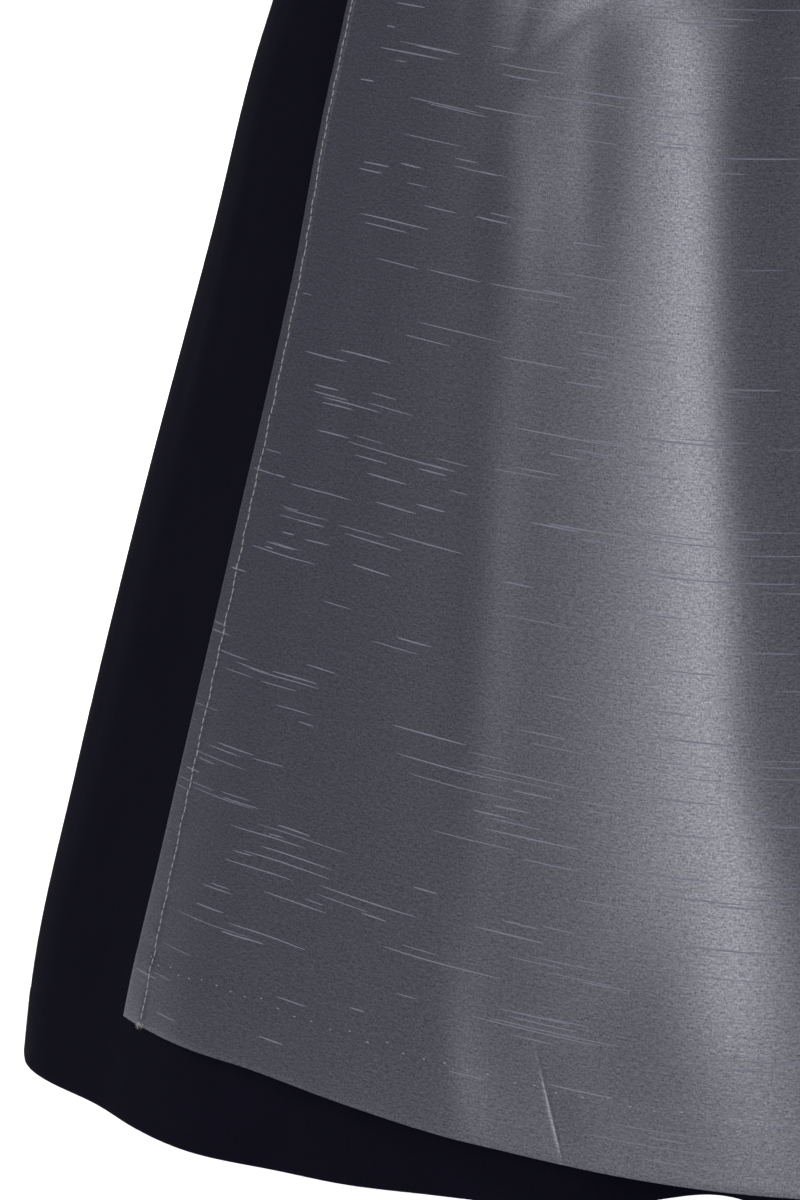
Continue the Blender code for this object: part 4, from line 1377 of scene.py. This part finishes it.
def sew(name, form, first, second, towards, lift, length, size, thread):
    """Stitches on a form, lifted off it along its normals, with a width and a height."""
    base, ahead, out = along_form(form, first, second, towards)
    base = base + out * np.reshape(lift, (-1, 1))
    dress(lenses(name, base, ahead, out, length, *size, finish(thread)), [])


class DIRNDL_OT_stitching(bpy.types.Operator):
    """Sew the apron's side hems and hem, its waistband and the button band"""

    bl_idname = "dirndl.stitching"
    bl_label = "Stitching"

    def execute(self, context):
        sizes = context.scene.dirndl_sizes
        rng = np.random.default_rng(11)
        # Topstitches down both side hems.
        count = int(APRON_CUT[1] / sizes.stitch_pitch)
        share = (np.arange(count) + 0.5) / count * 0.995
        wander = 0.00015 * rng.standard_normal(count) + 0.0007 * bell(share - 0.947, 0.006)
        inset = APRON_EDGE - (hem_width(share) - STITCH_INSET + wander) / side_reach(share)
        share = np.concatenate([share, share])
        angle = np.concatenate([-inset, inset])
        sew(
            "side_hem_stitches", apron, share, angle, DOWN, apron_out(share, angle) + 0.00022,
            sizes.stitch_pitch * 0.92, STITCH_SIZE, "pale_thread",
        )
        # A tuft of thread ends where each side hem's stitches run out at the corner.
        side = np.repeat((-1.0, 1.0), THREAD_ENDS)
        ends = len(side)
        turn = APRON_EDGE - hem_width(1.0) / side_reach(1.0) + rng.uniform(-0.004, 0.010, ends)
        base, ahead, out = along_form(apron, np.full(ends, 0.997), side * turn, DOWN)
        base = base + out * (apron_out(0.997, side * turn) + 0.0001)[:, None]
        aside = np.cross(out, ahead)
        swing, lift = rng.uniform(-0.9, 0.9, (ends, 1)), rng.uniform(0.1, 0.5, (ends, 1))
        way = ahead + aside * swing + out * lift
        size = rng.uniform(*THREAD_END_LENGTHS, ends)
        middle = base + way * (size / 2 - 0.0004)[:, None]
        way = way / np.linalg.norm(way, axis=-1, keepdims=True)
        sideways = out - way * np.sum(way * out, -1, keepdims=True)
        tuft = lenses(
            "corner_thread_ends", middle, way, sideways, size, *THREAD_END_SIZE,
            finish("pale_thread"), sides=4, stations=5,
        )
        dress(tuft, [])
        # Blind stitches along the turned-up hem, each a short level prick.
        count = int(HEM_SEWN / sizes.blind_pitch)
        angle = APRON_EDGE * (2 * (np.arange(count) + 0.5) / count - 1) * 0.965
        angle = angle + rng.uniform(-0.004, 0.004, count)
        share = 1 - (sizes.hem_turn + rng.uniform(-0.0016, 0.0012, count)) / APRON_CUT[1]
        sew(
            "hem_stitches", apron, share, angle, ACROSS,
            apron_out(share, angle) + rng.uniform(0.0, 0.00028, count),
            rng.uniform(*PRICK_LENGTHS, count), PRICK_SIZE, "pale_thread",
        )
        # Topstitches along both edges of the waistband.
        count = 104
        angle = np.tile(APRON_EDGE * (2 * (np.arange(count) + 0.5) / count - 1), 2)
        sew(
            "waistband_stitches", band, np.repeat((0.07, 0.93), count), angle, ACROSS,
            BAND_WALL - 0.0003, TOPSTITCH, TOPSTITCH_SIZE, "grey_thread",
        )
        # Topstitches along both edges of the button band.
        reach = PLACKET_HALF * PLACKET_SEWN / panel_edges("front")[1][:, :1]
        angle, level = (part[: SEAM_ROWS + 1, 0] for part in across_panel("front", reach))
        run = run_along(body(angle, level))
        places = np.arange(0.003, run[-1] - 0.002, 0.0030)
        angle, level = np.interp(places, run, angle), np.interp(places, run, level)
        angle, level = np.concatenate([angle, -angle]), np.tile(level, 2)
        sew(
            "placket_stitches", body, angle, level, ACROSS,
            DRESS_WALL + LAY_GAP / 2 + PLACKET_WALL - 0.00012, TOPSTITCH, TOPSTITCH_SIZE,
            "navy_thread",
        )
        return {"FINISHED"}


class DIRNDL_OT_slubs(bpy.types.Operator):
    """Lay the thick threads of the apron's weft, singly and in close pairs"""

    bl_idname = "dirndl.slubs"
    bl_label = "Slubs"

    def execute(self, context):
        count = context.scene.dirndl_sizes.slub_count
        rng = np.random.default_rng(7)
        lowest, highest = 0.01, SLUB_ENDS
        share = rng.uniform(lowest, highest, count)
        across = rng.uniform(-SLUB_ENDS, SLUB_ENDS, count)
        length = np.exp(rng.normal(math.log(SLUB_LENGTH), 0.5, count)).clip(*SLUB_LENGTHS)
        # Some are laid close under the one before, and a little to the side.
        paired = rng.uniform(size=count) < SLUBS_PAIRED
        before = np.roll(share, 1) + rng.uniform(0.004, 0.008, count)
        share = np.where(paired, np.clip(before, lowest, highest), share)
        beside = np.roll(across, 1) + rng.uniform(-0.04, 0.04, count)
        across = np.where(paired, np.clip(beside, -SLUB_ENDS, SLUB_ENDS), across)
        t = np.linspace(-SLUB_TIP, SLUB_TIP, 11)
        half_turn = length / APRON_CUT[0] * APRON_EDGE
        middle = across * APRON_EDGE
        angle = np.clip(middle[:, None] + half_turn[:, None] * t, -APRON_EDGE, APRON_EDGE)
        slope = rng.normal(0, 0.00012, count)
        rows = share[:, None] + slope[:, None] * t
        base, _, out = along_form(apron, rows, angle, (0.0, 1e-3))
        ahead = np.gradient(base, axis=1)
        ahead = ahead / np.linalg.norm(ahead, axis=-1, keepdims=True)
        spine = base + out * apron_out(rows, angle)[..., None]
        width = rng.uniform(*SLUB_WIDTHS, count)
        made = tubes(
            "slub_threads", spine, np.cross(out, ahead), out, width, width * 0.55,
            np.sqrt(1 - t**2) ** 0.8, np.arange(4) / 4 * 2 * math.pi, finish("slub_thread"),
        )
        dress(made, [])
        return {"FINISHED"}


def set_up(name, made, spot, aim, roll=0.0):
    """Places a camera or light at a spot, looking along its -Z at the aim and rolled about it."""
    thing = bpy.data.objects.new(name, made)
    bpy.context.scene.collection.objects.link(thing)
    thing.location = spot
    thing.rotation_mode = "QUATERNION"
    facing = (Vector(aim) - Vector(spot)).to_track_quat("-Z", "Y")
    thing.rotation_quaternion = facing @ Quaternion((0.0, 0.0, 1.0), roll)
    return thing


class DIRNDL_OT_studio(bpy.types.Operator):
    """Make the floor, the lights and the camera"""

    bl_idname = "dirndl.studio"
    bl_label = "Studio"

    def execute(self, context):
        scene = context.scene
        corners = FLOOR_REACH * np.array(((-1, -1), (1, -1), (1, 1), (-1, 1)))
        points = np.column_stack([corners, np.full(4, FLOOR_Z)])
        floor = new_piece("studio_floor", points, np.array([[0, 1, 2, 3]]), corners, finish("studio_floor"))
        for name, spot, aim, width, height, watts, lean, spread in LIGHTS:
            lamp = bpy.data.lights.new(name, "AREA")
            lamp.shape = "RECTANGLE"
            lamp.size, lamp.size_y = width, height
            lamp.energy = watts
            lamp.spread = math.radians(spread)
            set_up(name, lamp, spot, aim, math.radians(lean))
        world = bpy.data.worlds.new("studio")
        world.use_nodes = True
        backdrop = world.node_tree.nodes["Background"]
        backdrop.inputs["Color"].default_value = WORLD_COLOUR
        backdrop.inputs["Strength"].default_value = WORLD_STRENGTH
        scene.world = world
        scene.view_settings.view_transform = "Standard"
        eye = bpy.data.cameras.new("camera")
        eye.lens, eye.sensor_width, eye.clip_end = CAMERA_LENS, CAMERA_SENSOR, CAMERA_SIGHT
        scene.camera = set_up("camera", eye, CAMERA_PLACE, CAMERA_AIM)
        return {"FINISHED"}


OPERATORS = (
    DIRNDL_OT_studio,
    DIRNDL_OT_bodice,
    DIRNDL_OT_placket,
    DIRNDL_OT_buttons,
    DIRNDL_OT_skirt,
    DIRNDL_OT_waistband,
    DIRNDL_OT_apron,
    DIRNDL_OT_bow,
    DIRNDL_OT_stitching,
    DIRNDL_OT_slubs,
)


class DIRNDL_PT_parts(bpy.types.Panel):
    """Sizes, colours and pieces of the dirndl"""

    bl_idname = "DIRNDL_PT_parts"
    bl_label = "Dirndl"
    bl_space_type = "VIEW_3D"
    bl_region_type = "UI"
    bl_category = "Dirndl"

    def draw(self, context):
        layout = self.layout
        for group in (context.scene.dirndl_sizes, context.scene.dirndl_colours):
            box = layout.box()
            for key in group.bl_rna.properties.keys():
                if key not in ("rna_type", "name"):
                    box.prop(group, key)
        for operator in OPERATORS:
            layout.operator(operator.bl_idname)


CLASSES = (DirndlSizes, DirndlColours, *OPERATORS, DIRNDL_PT_parts)


def register():
    for each in CLASSES:
        bpy.utils.register_class(each)
    bpy.types.Scene.dirndl_sizes = bpy.props.PointerProperty(type=DirndlSizes)
    bpy.types.Scene.dirndl_colours = bpy.props.PointerProperty(type=DirndlColours)


def unregister():
    del bpy.types.Scene.dirndl_colours
    del bpy.types.Scene.dirndl_sizes
    for each in reversed(CLASSES):
        bpy.utils.unregister_class(each)


def main():
    """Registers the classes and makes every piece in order."""
    register()
    for operator in OPERATORS:
        group, name = operator.bl_idname.split(".")
        getattr(getattr(bpy.ops, group), name)()


if __name__ == "__main__":
    main()
